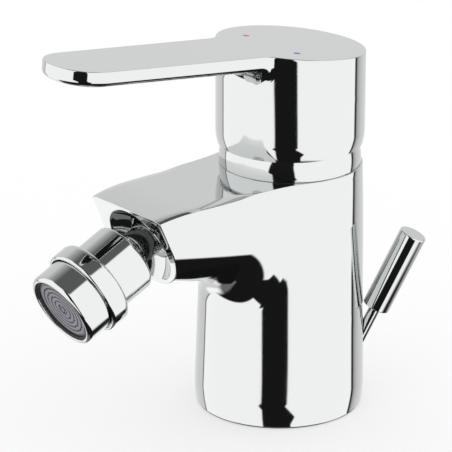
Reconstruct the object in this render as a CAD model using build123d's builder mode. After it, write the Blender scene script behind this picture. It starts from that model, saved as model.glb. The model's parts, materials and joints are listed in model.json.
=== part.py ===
from build123d import *
from math import asin, atan, cos, degrees, radians, sin, sqrt, tan
import os

os.makedirs("parts", exist_ok=True)

# A single-lever bidet mixer with a swivel-ball aerator and a pull rod for the waste.
# Millimetres. The deck is z = 0, the foot's centre is the origin, the spout looks along -Y.
# Every driving dimension is named here, piece by piece.

# Shared clearances and overruns
run_gap = 0.08  # radial play of a pin or a rod in its own bore
move_gap = 0.3  # room between pieces that move past each other
overrun = 2.0  # how far a cutting shape reaches past what it cuts

# Foot and pedestal of the body
foot_r = 26.0
body_h = 76.0
handle_y = 3.8  # the handle's axis stands this far behind the foot's centre
waist_drop = 32.0  # this far below the body's top the taper ends and the shoulder starts
waist_r = 24.85
waist_y = 0.6
shoulder_out = 0.5  # how far the shoulder's top stands out past the dome
shoulder_ease_share = 0.3  # how far the shoulder has drawn in at half its height
foot_edge_r = 0.5

# Spout: a D section, flat on top and round below
spout_w = 17.35  # half its width at mid length
flare_y = -25.6  # behind this the sides flare to the shoulder
flare_inset = 0.62  # how far inside the shoulder the flare ends
taper_y = -34.2  # ahead of this the sides draw in to the tip
taper_r = 207.0
spout_round_h = 15.0  # height of the round underside, below the straight sides
tip_y = -59.0
tip_floor_drop = 24.5  # the underside at the tip, below the body's top
root_y = -24.0
root_floor_drop = 30.4
spout_end_y = -2.0  # the spout's hidden end, inside the pedestal
tip_round_y = -46.2  # the flat top starts to fall here
tip_round_r = 61.0
spout_station_shares = (0, 0.2, 0.4, 0.55, 0.7, 0.85, 1)  # sections from tip to root
face_tilt = 23.5  # degrees from vertical, of the spout's front face
junction_r = 9.0  # fillet where the spout's underside meets the pedestal

# Chamber for the cartridge, and the waterways
chamber_gap = 0.2  # round the cartridge
chamber_depth = 26.0
nut_step = 1.6  # how much wider the nut's threaded mouth is than the chamber
nut_seat_depth = 6.8
inlet_x = 8.0
inlet_y = -9.0
inlet_thread_r = 4.46  # minor radius of an M10 x 1 thread
inlet_thread_len = 14.0
inlet_way_r = 3.0
port_y = 0.0  # where the two inlets open into the chamber's floor
stud_x = -9.0
stud_y = 10.0
stud_thread_r = 3.35  # minor radius of an M8 thread
stud_thread_len = 18.0
duct_r = 4.0
duct_front_y = -42.0
duct_front_drop = 9.5
duct_back_y = -12.0
duct_back_drop = 19.0

# Foot gasket, in a groove in the foot's rim
gasket_r = 25.0
gasket_w = 2.6
gasket_h = 1.6

# Swivel-ball aerator; distances run outwards along its axis from the spout's face
spray_y = -53.7
spray_drop = 13.6
spray_tilt = 25.2  # degrees below horizontal
ball_r = 8.6
ball_out = 9.5
ball_front_out = 16.2  # the ball is cut flat here
ball_way_r = 3.4
dish_rim_r = 12.5
ball_neck_r = 5.2
ball_flange_r = 7.8
ball_flange_h = 1.8
ball_shank_r = 6.0
ball_shank_len = 7.0
ball_seal_t = 0.8
sleeve_r = 10.9
sleeve_out = 5.6
sleeve_edge_r = 0.7
sleeve_seat_gap = 0.25
ring_r = 13.45
ring_out = 17.2
ring_end_out = 23.9
ring_back_r = 1.6
ring_edge_r = 0.7
ring_bore_r = 12.35
ring_bevel = 0.3
housing_thread_r = 11.3  # the aerator screws in on a 24 mm class thread
housing_thread_out = 18.2
housing_step_out = 21.6
housing_r = 12.0
housing_end_out = 32.3
housing_lip_r = 1.3
housing_bore_r = 10.4
liner_t = 0.7  # the two plastic rings that line the sleeve
slip_front_angle = 94.0  # degrees from the aerator's axis, seen from the ball
slip_back_angle = 112.0
seat_back_out = 12.3
seat_front_out = 16.4
seat_bore_r = 6.0
clamp_out = 16.6
clamp_t = 1.5
clamp_bore_r = 5.5
clamp_notch_w = 2.0
housing_floor_out = 20.5
housing_floor_bore_r = 7.0
insert_r = 9.7
insert_out = 31.3
insert_t = 2.4
slot_ring_shares = (0.82, 0.56, 0.3)  # radii of the slot rings on the insert
slot_counts = (24, 16, 8)
slot_w = 0.8
slot_len = 1.6
outlet_seal_out = 30.5
outlet_seal_t = 1.1
core_wall = 1.2
core_floor_t = 1.6
core_way_r = 3.0

# Cartridge, 35 mm class
cartridge_r = 17.4
base_h = 4.2
port_r = 3.0
port_x = 6.5
outlet_port_y = -8.5
seal_r = 4.6
seal_wire_r = 0.8
fixed_disc_gap = 0.9  # between the fixed disc and the housing's wall
fixed_disc_h = 3.8
moving_disc_inset = 3.2  # the moving disc is smaller, so that it can slide
moving_disc_h = 3.4
disc_window_w = 13.0
disc_window_d = 7.0
slider_h = 2.4
slider_boss_w = 10.4
slider_boss_d = 11.0
slider_boss_h = 3.0
slider_travel = 3.7
slider_floor_t = 0.3
housing_wall = 1.9
shoulder_t = 3.0
cap_neck_inset = 3.2  # the housing's neck, inside its outer wall
cap_neck_wall = 1.6
cap_neck_rise = 5.0
rotor_flange_gap = 0.6
rotor_flange_h = 1.8
rotor_rise = 6.6
rotor_bore_wall = 5.1  # left at the ends of the slot that the stem rocks in
stem_side_gap = 0.4

# Lever pin, stem and their pivot; rises and drops are from the body's top
pivot_rise = 1.0
pin_r = 1.5
pin_inset = 1.3  # the pin ends this far inside the rotor's wall
stem_w = 8.0
stem_rise = 25.0
stem_tip_drop = 11.4
stem_tip_r = 2.6
stem_neck_r = 1.8
stem_square_drop = 6.0
stem_edge = 1.2

# Nut and dome collar
nut_thread_gap = 0.05
nut_bore_clear = 0.35
nut_spigot_inset = 0.75
nut_spigot_rise = 7.5
nut_notch_count = 6
nut_notch_w = 4.0
nut_notch_h = 2.5
dome_gap = 0.05  # between the dome's bore and the nut
dome_wall = 2.95  # at the widest, level with the pivot
dome_rise = 11.4
dome_lip_w = 1.85

# Handle
cap_out = 1.0  # how far the cap stands out past the dome
cap_bottom_rise = 6.4
cap_lip_w = 0.17  # flat rim at the cap's foot
cap_foot_h = 5.0
cap_top_rise = 36.7  # to the sloping top, at the handle's axis
top_slope = 0.1187  # rise of the top towards the lever's tip
cap_gap = 0.26  # the cap's mouth clears the dome by this when it tilts
cap_bore_h = 3.6
cap_inner_gap = 0.35
cap_roof_t = 6.0
socket_r = 8.6
socket_rise = 14.0
lever_root_w = 12.6  # half width at the cap
lever_w = 12.1  # half width at the tip
lever_len = 88.5  # from the handle's axis, along the sloping top
lever_corner_r = 11.0
lever_t = 4.7
lever_edge_r = 1.3
lever_root_r = 5.0
dot_x = 11.6
dot_y = -3.8
dot_r = 1.1
dot_t = 0.5
grub_r = 2.5
grub_len = 6.0
grub_rise = 20.5
grub_hex_w = 2.5
plug_r = 3.0
plug_t = 2.0

# Pull rod
rod_turn = 45.0  # degrees from +Y towards +X
rod_tilt = 24.5  # degrees from vertical
rod_r = 1.75
rod_foot_out = 1.6
rod_mouth_r = 2.15
knob_r = 4.2
knob_len = 26.3
knob_out = 32.7  # along the rod, from the deck to the knob's foot
knob_socket_len = 12.0
knob_edge_r = 0.4
rod_deck_reach = 13.1  # from the handle's axis to where the rod's line meets the deck
bush_r = 3.1
bush_len = 8.4
bush_out = 5.6

# Heights that follow the body's top
waist_z = body_h - waist_drop
tip_floor_z = body_h - tip_floor_drop
root_floor_z = body_h - root_floor_drop
chamber_z = body_h - chamber_depth
nut_seat_z = body_h - nut_seat_depth
duct_front_z = body_h - duct_front_drop
duct_back_z = body_h - duct_back_drop
spray_z = body_h - spray_drop
cap_neck_top_z = body_h + cap_neck_rise
rotor_top_z = body_h + rotor_rise
pivot_z = body_h + pivot_rise
stem_top_z = body_h + stem_rise
stem_tip_z = body_h - stem_tip_drop
stem_square_z = body_h - stem_square_drop
nut_spigot_top_z = body_h + nut_spigot_rise
dome_top_z = body_h + dome_rise
cap_bottom_z = body_h + cap_bottom_rise
cap_top_z = body_h + cap_top_rise
socket_bottom_z = body_h + socket_rise
grub_z = body_h + grub_rise

# Radii about the handle's axis, worked outwards from the cartridge
fixed_disc_r = cartridge_r - housing_wall - fixed_disc_gap
moving_disc_r = fixed_disc_r - moving_disc_inset
rotor_flange_r = cartridge_r - housing_wall - rotor_flange_gap
cap_neck_r = cartridge_r - cap_neck_inset
cap_neck_bore_r = cap_neck_r - cap_neck_wall
rotor_r = cap_neck_bore_r - move_gap
rotor_bore_d = 2 * (rotor_r - rotor_bore_wall)
rotor_bore_w = stem_w + 2 * stem_side_gap
pin_len = 2 * (rotor_r - pin_inset)
chamber_r = cartridge_r + chamber_gap
nut_bore_r = chamber_r + nut_step
nut_thread_r = nut_bore_r - nut_thread_gap
nut_spigot_r = nut_thread_r - nut_spigot_inset
dome_bore_r = nut_spigot_r + dome_gap
dome_lip_r = dome_bore_r - dome_lip_w
dome_r = dome_bore_r + dome_wall
shoulder_r = dome_r + shoulder_out
cap_r = dome_r + cap_out
cap_bore_r = sqrt((dome_r + cap_gap) ** 2 - (cap_bottom_z - pivot_z) ** 2)
cap_foot_r = cap_bore_r + cap_lip_w
cap_inner_r = sqrt(
    (dome_r + cap_inner_gap) ** 2 - (cap_bottom_z + cap_bore_h - pivot_z) ** 2
)

# The spout's flare is an arc that ends just inside the shoulder
flare_end_w = sqrt(shoulder_r**2 - (spout_end_y - handle_y) ** 2) - flare_inset
flare_out = flare_end_w - spout_w
flare_r = ((spout_end_y - flare_y) ** 2 + flare_out**2) / (2 * flare_out)

# Other worked-out places
lean = atan(top_slope)
handle_axis = Axis((0, handle_y, 0), (0, 0, 1))
handle_side = Plane(origin=(0, handle_y, 0), x_dir=(1, 0, 0), z_dir=(0, -1, 0))
top_plane = Plane(
    origin=(0, handle_y, cap_top_z), x_dir=(1, 0, 0), z_dir=(0, sin(lean), cos(lean))
)

spray_dir = Vector(0, -cos(radians(spray_tilt)), -sin(radians(spray_tilt)))
spray_face = Vector(0, spray_y, spray_z)
spray_side = Plane(
    origin=spray_face, x_dir=(1, 0, 0), z_dir=(0, -spray_dir.Z, spray_dir.Y)
)
spray_axis = Axis(spray_face, spray_dir)
dish_r = sqrt(dish_rim_r**2 + ball_out**2)
dish_out = ball_out - dish_r
pocket_out = dish_out - ball_flange_h - ball_seal_t

turn = radians(rod_turn)
rod_dir = Vector(
    sin(radians(rod_tilt)) * sin(turn),
    sin(radians(rod_tilt)) * cos(turn),
    cos(radians(rod_tilt)),
)
rod_deck = Vector(
    rod_deck_reach * sin(turn), handle_y + rod_deck_reach * cos(turn), 0
)
rod_plane = Plane(origin=rod_deck, x_dir=(cos(turn), -sin(turn), 0), z_dir=rod_dir)
pivot_plane = Plane(origin=(0, handle_y, pivot_z), x_dir=(0, 1, 0), z_dir=(1, 0, 0))

fixed_disc_z = chamber_z + base_h
moving_disc_z = fixed_disc_z + fixed_disc_h
slider_z = moving_disc_z + moving_disc_h
rotor_z = slider_z + slider_h + move_gap
shoulder_z = nut_seat_z - shoulder_t

pieces = {}


def finish(name, piece):
    """Keeps a finished sub-part under the name that its node gets."""
    piece.part.label = name
    pieces[name] = piece


def turned(plane, axis, outline):
    """A round piece: a closed outline of (radius, height) points spun about an axis."""
    with BuildPart() as piece:
        with BuildSketch(plane):
            with BuildLine():
                Polyline(*outline, close=True)
            make_face()
        revolve(axis=axis)
    return piece


def upright(outline):
    """A round piece about the handle's axis."""
    return turned(handle_side, handle_axis, outline)


def along_spray(outline):
    """A round piece about the aerator's axis."""
    return turned(spray_side, spray_axis, outline)


def spray_at(out):
    """The plane across the aerator's axis, at a distance from the spout's face."""
    return Plane(
        origin=spray_face + spray_dir * out, x_dir=(1, 0, 0), z_dir=spray_dir
    )


def spray_rim(piece, radius, out):
    """The round edge of a piece nearest to a radius and a distance out of the face."""
    middle = spray_face + spray_dir * out
    return (
        piece.edges()
        .filter_by(GeomType.CIRCLE)
        .sort_by(lambda edge: abs(edge.radius - radius) + (edge.arc_center - middle).length)
    )[0]


def rod_at(out):
    """The plane across the pull rod, at a distance along it from the deck."""
    return Plane(
        origin=rod_deck + rod_dir * out, x_dir=rod_plane.x_dir, z_dir=rod_dir
    )


def behind_axis(distance):
    """The upright plane behind the handle's axis, centred on the grub screw's line."""
    return Plane(origin=(0, handle_y + distance, grub_z), z_dir=(0, 1, 0))


# Body casting
def pedestal_ring(z):
    """Radius and centre of the pedestal's round section at a height."""
    if z <= waist_z:
        share = z / waist_z
        return foot_r + (waist_r - foot_r) * share, waist_y * share
    share = (z - waist_z) / (body_h - waist_z)
    ease = share * (4 * shoulder_ease_share - 1 + 2 * share * (1 - 2 * shoulder_ease_share))
    return (
        waist_r + (shoulder_r - waist_r) * ease,
        waist_y + (handle_y - waist_y) * ease,
    )


def spout_half_width(y):
    """Half the spout's width: drawn in at the tip and flared at the root."""
    if y > flare_y:
        return spout_w + flare_r - sqrt(flare_r**2 - (y - flare_y) ** 2)
    if y < taper_y:
        return spout_w + sqrt(taper_r**2 - (taper_y - y) ** 2) - taper_r
    return spout_w


def spout_floor(y):
    """Height of the spout's underside, which falls towards the pedestal."""
    fall = (tip_floor_z - root_floor_z) / (root_y - tip_y)
    return tip_floor_z - fall * (y - tip_y)


def spout_side_foot(y):
    """Height where the spout's straight sides turn into its round underside."""
    return spout_floor(y) + spout_round_h


face_slope = tan(radians(face_tilt))
tip_drop = tip_round_r - sqrt(tip_round_r**2 - (tip_y - tip_round_y) ** 2)
tip_top_z = body_h - tip_drop

with BuildPart() as pedestal:
    for z in (0, waist_z / 2, waist_z, (waist_z + body_h) / 2, body_h):
        radius, middle_y = pedestal_ring(z)
        with BuildSketch(Plane((0, middle_y, z))):
            Circle(radius)
    loft()

with BuildPart() as spout:
    start_y = tip_y - 2 * overrun
    for share in spout_station_shares:
        y = start_y + (spout_end_y - start_y) * share
        w = spout_half_width(y)
        foot = spout_side_foot(y)
        with BuildSketch(Plane(origin=(0, y, 0), x_dir=(1, 0, 0), z_dir=(0, -1, 0))):
            with BuildLine():
                Polyline(
                    (-w, foot), (-w, body_h + overrun), (w, body_h + overrun), (w, foot)
                )
                EllipticalCenterArc(
                    (0, foot), w, spout_round_h, start_angle=180, arc_size=180
                )
            make_face()
    loft()
    with BuildSketch(Plane.YZ):
        with BuildLine():
            low_z = root_floor_z - 2 * overrun
            Polyline(
                (tip_round_y, body_h),
                (spout_end_y + overrun, body_h),
                (spout_end_y + overrun, low_z),
                (tip_y + (tip_top_z - low_z) * face_slope, low_z),
                (tip_y, tip_top_z),
            )
            RadiusArc((tip_y, tip_top_z), (tip_round_y, body_h), tip_round_r)
        make_face()
    extrude(amount=spout_w * 2, both=True, mode=Mode.INTERSECT)

with BuildPart() as shell:
    add(pedestal.part)
    add(spout.part)
    own_edges = pedestal.edges() + spout.edges()
    junction = shell.edges().filter_by(
        lambda edge: -spout_w * 2 < edge.center().Y < spout_end_y
        and edge.center().Z < body_h - overrun
        and abs(edge.center().Z - spout_side_foot(edge.center().Y)) > move_gap
        and min((edge.center() - own.center()).length for own in own_edges) > move_gap
    )
    fillet(junction, junction_r)

with BuildPart() as body:
    add(shell.part)
    chamfer(body.faces().sort_by(Axis.Z)[0].outer_wire().edges(), foot_edge_r)
    # chamber for the cartridge, with the nut's threaded mouth above it
    with BuildSketch(Plane((0, handle_y, chamber_z))):
        Circle(chamber_r)
    extrude(amount=body_h - chamber_z + overrun, mode=Mode.SUBTRACT)
    with BuildSketch(Plane((0, handle_y, nut_seat_z))):
        Circle(nut_bore_r)
    extrude(amount=body_h - nut_seat_z + overrun, mode=Mode.SUBTRACT)
    # the groove that holds the foot's gasket
    with BuildSketch(Plane.XY):
        Circle(gasket_r)
        Circle(gasket_r - gasket_w, mode=Mode.SUBTRACT)
    extrude(amount=gasket_h, mode=Mode.SUBTRACT)
    # two inlets: a hose thread below, then a way up to the chamber's floor
    for side in (-1, 1):
        with BuildSketch(Plane((side * inlet_x, inlet_y, 0))):
            Circle(inlet_thread_r)
        extrude(amount=inlet_thread_len, mode=Mode.SUBTRACT)
        foot_of_way = Vector(side * inlet_x, inlet_y, inlet_thread_len - overrun)
        head_of_way = Vector(side * port_x, handle_y + port_y, chamber_z + overrun)
        with BuildSketch(Plane(origin=foot_of_way, z_dir=head_of_way - foot_of_way)):
            Circle(inlet_way_r)
        extrude(amount=(head_of_way - foot_of_way).length, mode=Mode.SUBTRACT)
    with BuildSketch(Plane((stud_x, stud_y, 0))):
        Circle(stud_thread_r)
    extrude(amount=stud_thread_len, mode=Mode.SUBTRACT)
    # the duct from the chamber to the ball's thread
    duct_back = Vector(0, duct_back_y, duct_back_z)
    duct_front = Vector(0, duct_front_y, duct_front_z)
    with BuildSketch(Plane(origin=duct_back, z_dir=duct_front - duct_back)):
        Circle(duct_r)
    extrude(amount=(duct_front - duct_back).length, mode=Mode.SUBTRACT)
    # the dish that the sleeve swivels in, and the thread for the ball
    with Locations(spray_face + spray_dir * ball_out):
        Sphere(dish_r, mode=Mode.SUBTRACT)
    with BuildSketch(spray_at(pocket_out)):
        Circle(ball_flange_r)
    extrude(amount=dish_out - pocket_out + overrun, mode=Mode.SUBTRACT)
    with BuildSketch(spray_at(pocket_out - ball_shank_len)):
        Circle(ball_shank_r)
    extrude(amount=ball_shank_len + overrun, mode=Mode.SUBTRACT)
    # the pull rod's hole, wider below where its bush sits
    with BuildSketch(rod_at(-overrun)):
        Circle(rod_mouth_r)
    extrude(amount=knob_out, mode=Mode.SUBTRACT)
    with BuildSketch(rod_at(-overrun)):
        Circle(bush_r)
    extrude(amount=overrun + bush_out + bush_len, mode=Mode.SUBTRACT)
finish("body_casting", body)

with BuildPart() as gasket:
    with BuildSketch(Plane.XY):
        Circle(gasket_r)
        Circle(gasket_r - gasket_w, mode=Mode.SUBTRACT)
    extrude(amount=gasket_h)
finish("base_gasket", gasket)

with BuildPart() as bush:
    with BuildSketch(rod_at(bush_out)):
        Circle(bush_r)
        Circle(rod_r + run_gap, mode=Mode.SUBTRACT)
    extrude(amount=bush_len)
finish("rod_guide_bush", bush)

# Cartridge, from its seals up to the rotor
with BuildPart() as plate:
    with BuildSketch(Plane((0, handle_y, chamber_z))):
        Circle(cartridge_r)
        with Locations((-port_x, port_y), (port_x, port_y), (0, outlet_port_y)):
            Circle(port_r, mode=Mode.SUBTRACT)
    extrude(amount=base_h)
    # grooves for the port seals
    for place in ((-port_x, port_y), (port_x, port_y), (0, outlet_port_y)):
        with BuildSketch(Plane((0, handle_y, chamber_z))):
            with Locations(place):
                Circle(seal_r)
                Circle(port_r, mode=Mode.SUBTRACT)
        extrude(amount=2 * seal_wire_r, mode=Mode.SUBTRACT)
finish("cartridge_base", plate)

with BuildPart() as seals:
    for place in ((-port_x, port_y), (port_x, port_y), (0, outlet_port_y)):
        with Locations((place[0], handle_y + place[1], chamber_z + seal_wire_r)):
            Torus((port_r + seal_r) / 2, seal_wire_r)
finish("port_seals", seals)

with BuildPart() as fixed_disc:
    with BuildSketch(Plane((0, handle_y, fixed_disc_z))):
        Circle(fixed_disc_r)
        with Locations((-port_x, port_y), (port_x, port_y), (0, outlet_port_y)):
            Circle(port_r, mode=Mode.SUBTRACT)
    extrude(amount=fixed_disc_h)
finish("fixed_ceramic_disc", fixed_disc)

with BuildPart() as moving_disc:
    with BuildSketch(Plane((0, handle_y, moving_disc_z))):
        Circle(moving_disc_r)
    extrude(amount=moving_disc_h)
    # the window underneath joins the inlets to the outlet
    with BuildSketch(Plane((0, handle_y, moving_disc_z))):
        SlotOverall(disc_window_w, disc_window_d)
    extrude(amount=moving_disc_h / 2, mode=Mode.SUBTRACT)
finish("moving_ceramic_disc", moving_disc)

with BuildPart() as slider:
    with BuildSketch(Plane((0, handle_y, slider_z))):
        Circle(moving_disc_r)
    extrude(amount=slider_h)
    with BuildSketch(Plane((0, handle_y, slider_z + slider_h))):
        RectangleRounded(slider_boss_w, slider_boss_d, stem_edge)
    extrude(amount=slider_boss_h)
    # the cup that the stem's tip pushes in
    with BuildSketch(Plane((0, handle_y, slider_z + slider_floor_t))):
        Circle(stem_tip_r + move_gap)
    extrude(amount=slider_h + slider_boss_h, mode=Mode.SUBTRACT)
finish("disc_slider", slider)

finish(
    "cartridge_housing",
    upright(
        (
            (cartridge_r - housing_wall, fixed_disc_z),
            (cartridge_r, fixed_disc_z),
            (cartridge_r, nut_seat_z),
            (cap_neck_r, nut_seat_z),
            (cap_neck_r, cap_neck_top_z),
            (cap_neck_bore_r, cap_neck_top_z),
            (cap_neck_bore_r, shoulder_z),
            (cartridge_r - housing_wall, shoulder_z),
        )
    ),
)

with BuildPart() as rotor:
    with BuildSketch(Plane((0, handle_y, rotor_z))):
        Circle(rotor_flange_r)
    extrude(amount=rotor_flange_h)
    with BuildSketch(Plane((0, handle_y, rotor_z))):
        Circle(rotor_r)
    extrude(amount=rotor_top_z - rotor_z)
    # the slot that the stem rocks in, and the recess that guides the slider
    with BuildSketch(Plane((0, handle_y, rotor_z))):
        Rectangle(rotor_bore_w, rotor_bore_d)
    extrude(amount=rotor_top_z - rotor_z, mode=Mode.SUBTRACT)
    with BuildSketch(Plane((0, handle_y, rotor_z))):
        Rectangle(
            slider_boss_w + 2 * move_gap, slider_boss_d + 2 * (slider_travel + move_gap)
        )
    extrude(amount=slider_boss_h + move_gap, mode=Mode.SUBTRACT)
    with BuildSketch(pivot_plane):
        Circle(pin_r)
    extrude(amount=rotor_r, both=True, mode=Mode.SUBTRACT)
finish("cartridge_rotor", rotor)

with BuildPart() as pin:
    with BuildSketch(pivot_plane):
        Circle(pin_r)
    extrude(amount=pin_len / 2, both=True)
finish("stem_pivot_pin", pin)

with BuildPart() as stem:
    with BuildSketch(Plane((0, handle_y, stem_square_z))):
        Rectangle(stem_w, stem_w)
    extrude(amount=stem_top_z - stem_square_z)
    chamfer(stem.faces().sort_by(Axis.Z)[0].edges(), stem_edge)
    chamfer(stem.faces().sort_by(Axis.Z)[-1].edges(), stem_edge / 2)
    with BuildSketch(Plane((0, handle_y, stem_tip_z))):
        Circle(stem_neck_r)
    extrude(amount=stem_square_z - stem_tip_z)
    with Locations((0, handle_y, stem_tip_z)):
        Sphere(stem_tip_r)
    with BuildSketch(pivot_plane):
        Circle(pin_r + run_gap)
    extrude(amount=stem_w, both=True, mode=Mode.SUBTRACT)
finish("lever_stem", stem)

# The nut that holds the cartridge down, and the dome that hides it
with BuildPart() as nut:
    with BuildSketch(Plane((0, handle_y, nut_seat_z))):
        Circle(nut_thread_r)
    extrude(amount=body_h - nut_seat_z)
    with BuildSketch(Plane((0, handle_y, body_h))):
        Circle(nut_spigot_r)
    extrude(amount=nut_spigot_top_z - body_h)
    with BuildSketch(Plane((0, handle_y, nut_seat_z))):
        Circle(cap_neck_r + nut_bore_clear)
    extrude(amount=nut_spigot_top_z - nut_seat_z, mode=Mode.SUBTRACT)
    # spanner notches round the top
    with BuildSketch(Plane((0, handle_y, nut_spigot_top_z - nut_notch_h))):
        with PolarLocations(nut_spigot_r, nut_notch_count):
            Rectangle(nut_notch_w, nut_notch_w)
    extrude(amount=nut_notch_h, mode=Mode.SUBTRACT)
finish("cartridge_nut", nut)

dome_inner_top = nut_spigot_top_z + move_gap
with BuildPart() as dome:
    with BuildSketch(handle_side):
        with BuildLine():
            dome_base_r = sqrt(dome_r**2 - (body_h - pivot_z) ** 2)
            dome_rim_r = sqrt(dome_r**2 - (dome_top_z - pivot_z) ** 2)
            Polyline(
                (dome_rim_r, dome_top_z),
                (dome_lip_r, dome_top_z),
                (dome_lip_r, dome_inner_top),
                (dome_bore_r, dome_inner_top),
                (dome_bore_r, body_h),
                (dome_base_r, body_h),
            )
            RadiusArc((dome_base_r, body_h), (dome_rim_r, dome_top_z), -dome_r)
        make_face()
    revolve(axis=handle_axis)
finish("dome_collar", dome)

# Handle: a hollow cap and a thin lever that is level with its sloping top
cap_foot_in = cap_r - cap_foot_r
cap_foot_arc_r = (cap_foot_h**2 + cap_foot_in**2) / (2 * cap_foot_in)
cap_high_z = cap_top_z + top_slope * cap_r + overrun

with BuildPart() as cap:
    with BuildSketch(handle_side):
        with BuildLine():
            Polyline(
                (cap_r, cap_bottom_z + cap_foot_h),
                (cap_r, cap_high_z),
                (0, cap_high_z),
                (0, cap_bottom_z),
                (cap_foot_r, cap_bottom_z),
            )
            RadiusArc(
                (cap_foot_r, cap_bottom_z),
                (cap_r, cap_bottom_z + cap_foot_h),
                -cap_foot_arc_r,
            )
        make_face()
    revolve(axis=handle_axis)
    split(bisect_by=top_plane, keep=Keep.BOTTOM)

with BuildPart() as lever:
    with BuildSketch(top_plane) as lever_plan:
        with BuildLine():
            Polyline(
                (-lever_root_w, 0),
                (-lever_w, -lever_len),
                (lever_w, -lever_len),
                (lever_root_w, 0),
                close=True,
            )
        make_face()
        fillet(lever_plan.vertices().group_by(Axis.Y)[0], lever_corner_r)
    extrude(amount=-lever_t)
    lower_edges = lever.faces().sort_by(Axis((0, 0, 0), top_plane.z_dir))[0].edges()
    fillet(lower_edges.sort_by(Axis.Y)[:-1], lever_edge_r)

with BuildPart() as cavity:
    with BuildSketch(Plane((0, handle_y, cap_bottom_z))):
        Circle(cap_inner_r)
    extrude(amount=cap_high_z - cap_bottom_z)
    split(bisect_by=top_plane.offset(-cap_roof_t), keep=Keep.BOTTOM)
    with BuildSketch(Plane((0, handle_y, cap_bottom_z))):
        Circle(cap_bore_r)
    extrude(amount=cap_bore_h)
    with BuildSketch(Plane((0, handle_y, socket_bottom_z))):
        Circle(socket_r)
    extrude(amount=cap_high_z - socket_bottom_z, mode=Mode.SUBTRACT)


def handle_side_radius(point):
    """How far a point is from the handle's axis."""
    return sqrt(point.X**2 + (point.Y - handle_y) ** 2)


with BuildPart() as handle:
    add(cap.part)
    add(lever.part)
    # the edges where the lever's sides and underside meet the round cap
    roots = handle.edges().filter_by(
        lambda edge: edge.center().Y < handle_y
        and abs(handle_side_radius(edge.position_at(0.5)) - cap_r) < move_gap
        and move_gap < -top_plane.to_local_coords(edge.center()).Z < 2 * lever_t
    )
    fillet(roots, lever_root_r)
    add(cavity.part, mode=Mode.SUBTRACT)
    with BuildSketch(Plane((0, handle_y, socket_bottom_z))):
        Rectangle(stem_w, stem_w)
    extrude(amount=stem_top_z - socket_bottom_z, mode=Mode.SUBTRACT)
    # the grub screw's thread, and the hole behind it that the plug closes
    with BuildSketch(behind_axis(0)):
        Circle(grub_r)
    extrude(amount=socket_r + overrun, mode=Mode.SUBTRACT)
    with BuildSketch(behind_axis(cap_inner_r - overrun)):
        Circle(plug_r)
    extrude(amount=cap_r, mode=Mode.SUBTRACT)
    # shallow pockets for the temperature dots
    with BuildSketch(top_plane.offset(-dot_t)):
        with Locations((-dot_x, dot_y - handle_y), (dot_x, dot_y - handle_y)):
            Circle(dot_r)
    extrude(amount=dot_t + overrun, mode=Mode.SUBTRACT)
finish("handle", handle)

for name, side in (("hot_dot", -1), ("cold_dot", 1)):
    with BuildPart() as dot:
        with BuildSketch(top_plane.offset(-dot_t)):
            with Locations((side * dot_x, dot_y - handle_y)):
                Circle(dot_r)
        extrude(amount=dot_t)
    finish(name, dot)

with BuildPart() as grub:
    with BuildSketch(behind_axis(stem_w / 2)):
        Circle(grub_r)
    extrude(amount=grub_len)
    with BuildSketch(behind_axis(stem_w / 2 + grub_len / 2)):
        RegularPolygon(grub_hex_w / 2, 6, major_radius=False)
    extrude(amount=grub_len, mode=Mode.SUBTRACT)
finish("handle_grub_screw", grub)

with BuildPart() as plug:
    with BuildSketch(behind_axis(cap_r - plug_t - move_gap)):
        Circle(plug_r)
    extrude(amount=plug_t)
    chamfer(plug.faces().sort_by(Axis.Y)[-1].edges(), move_gap)
finish("screw_plug", plug)

# Swivel-ball aerator
ball_join_out = ball_out - sqrt(ball_r**2 - ball_neck_r**2)
ball_flat_r = sqrt(ball_r**2 - (ball_front_out - ball_out) ** 2)
with BuildPart() as ball:
    with BuildSketch(spray_side):
        with BuildLine():
            Polyline(
                (ball_flat_r, ball_front_out),
                (ball_way_r, ball_front_out),
                (ball_way_r, pocket_out - ball_shank_len),
                (ball_shank_r, pocket_out - ball_shank_len),
                (ball_shank_r, pocket_out + ball_seal_t),
                (ball_flange_r, pocket_out + ball_seal_t),
                (ball_flange_r, dish_out),
                (ball_neck_r, dish_out),
                (ball_neck_r, ball_join_out),
            )
            ThreePointArc(
                (ball_neck_r, ball_join_out),
                (ball_r, ball_out),
                (ball_flat_r, ball_front_out),
            )
        make_face()
    revolve(axis=spray_axis)
finish("ball_stud", ball)

finish(
    "ball_seal",
    along_spray(
        (
            (ball_shank_r, pocket_out),
            (ball_flange_r, pocket_out),
            (ball_flange_r, pocket_out + ball_seal_t),
            (ball_shank_r, pocket_out + ball_seal_t),
        )
    ),
)

liner_in_r = ball_r + move_gap
liner_out_r = liner_in_r + liner_t
seat_r = liner_out_r + sleeve_seat_gap


def on_ball(radius, angle):
    """A point of the side view, at an angle from the aerator's axis about the ball."""
    return radius * sin(radians(angle)), ball_out + radius * cos(radians(angle))


slip_mid_angle = (slip_front_angle + slip_back_angle) / 2
with BuildPart() as slip:
    with BuildSketch(spray_side):
        with BuildLine():
            ThreePointArc(
                on_ball(liner_in_r, slip_front_angle),
                on_ball(liner_in_r, slip_mid_angle),
                on_ball(liner_in_r, slip_back_angle),
            )
            Line(
                on_ball(liner_in_r, slip_back_angle), on_ball(liner_out_r, slip_back_angle)
            )
            ThreePointArc(
                on_ball(liner_out_r, slip_back_angle),
                on_ball(liner_out_r, slip_mid_angle),
                on_ball(liner_out_r, slip_front_angle),
            )
            Line(
                on_ball(liner_out_r, slip_front_angle),
                on_ball(liner_in_r, slip_front_angle),
            )
        make_face()
    revolve(axis=spray_axis)
finish("rear_slip_ring", slip)

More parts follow.
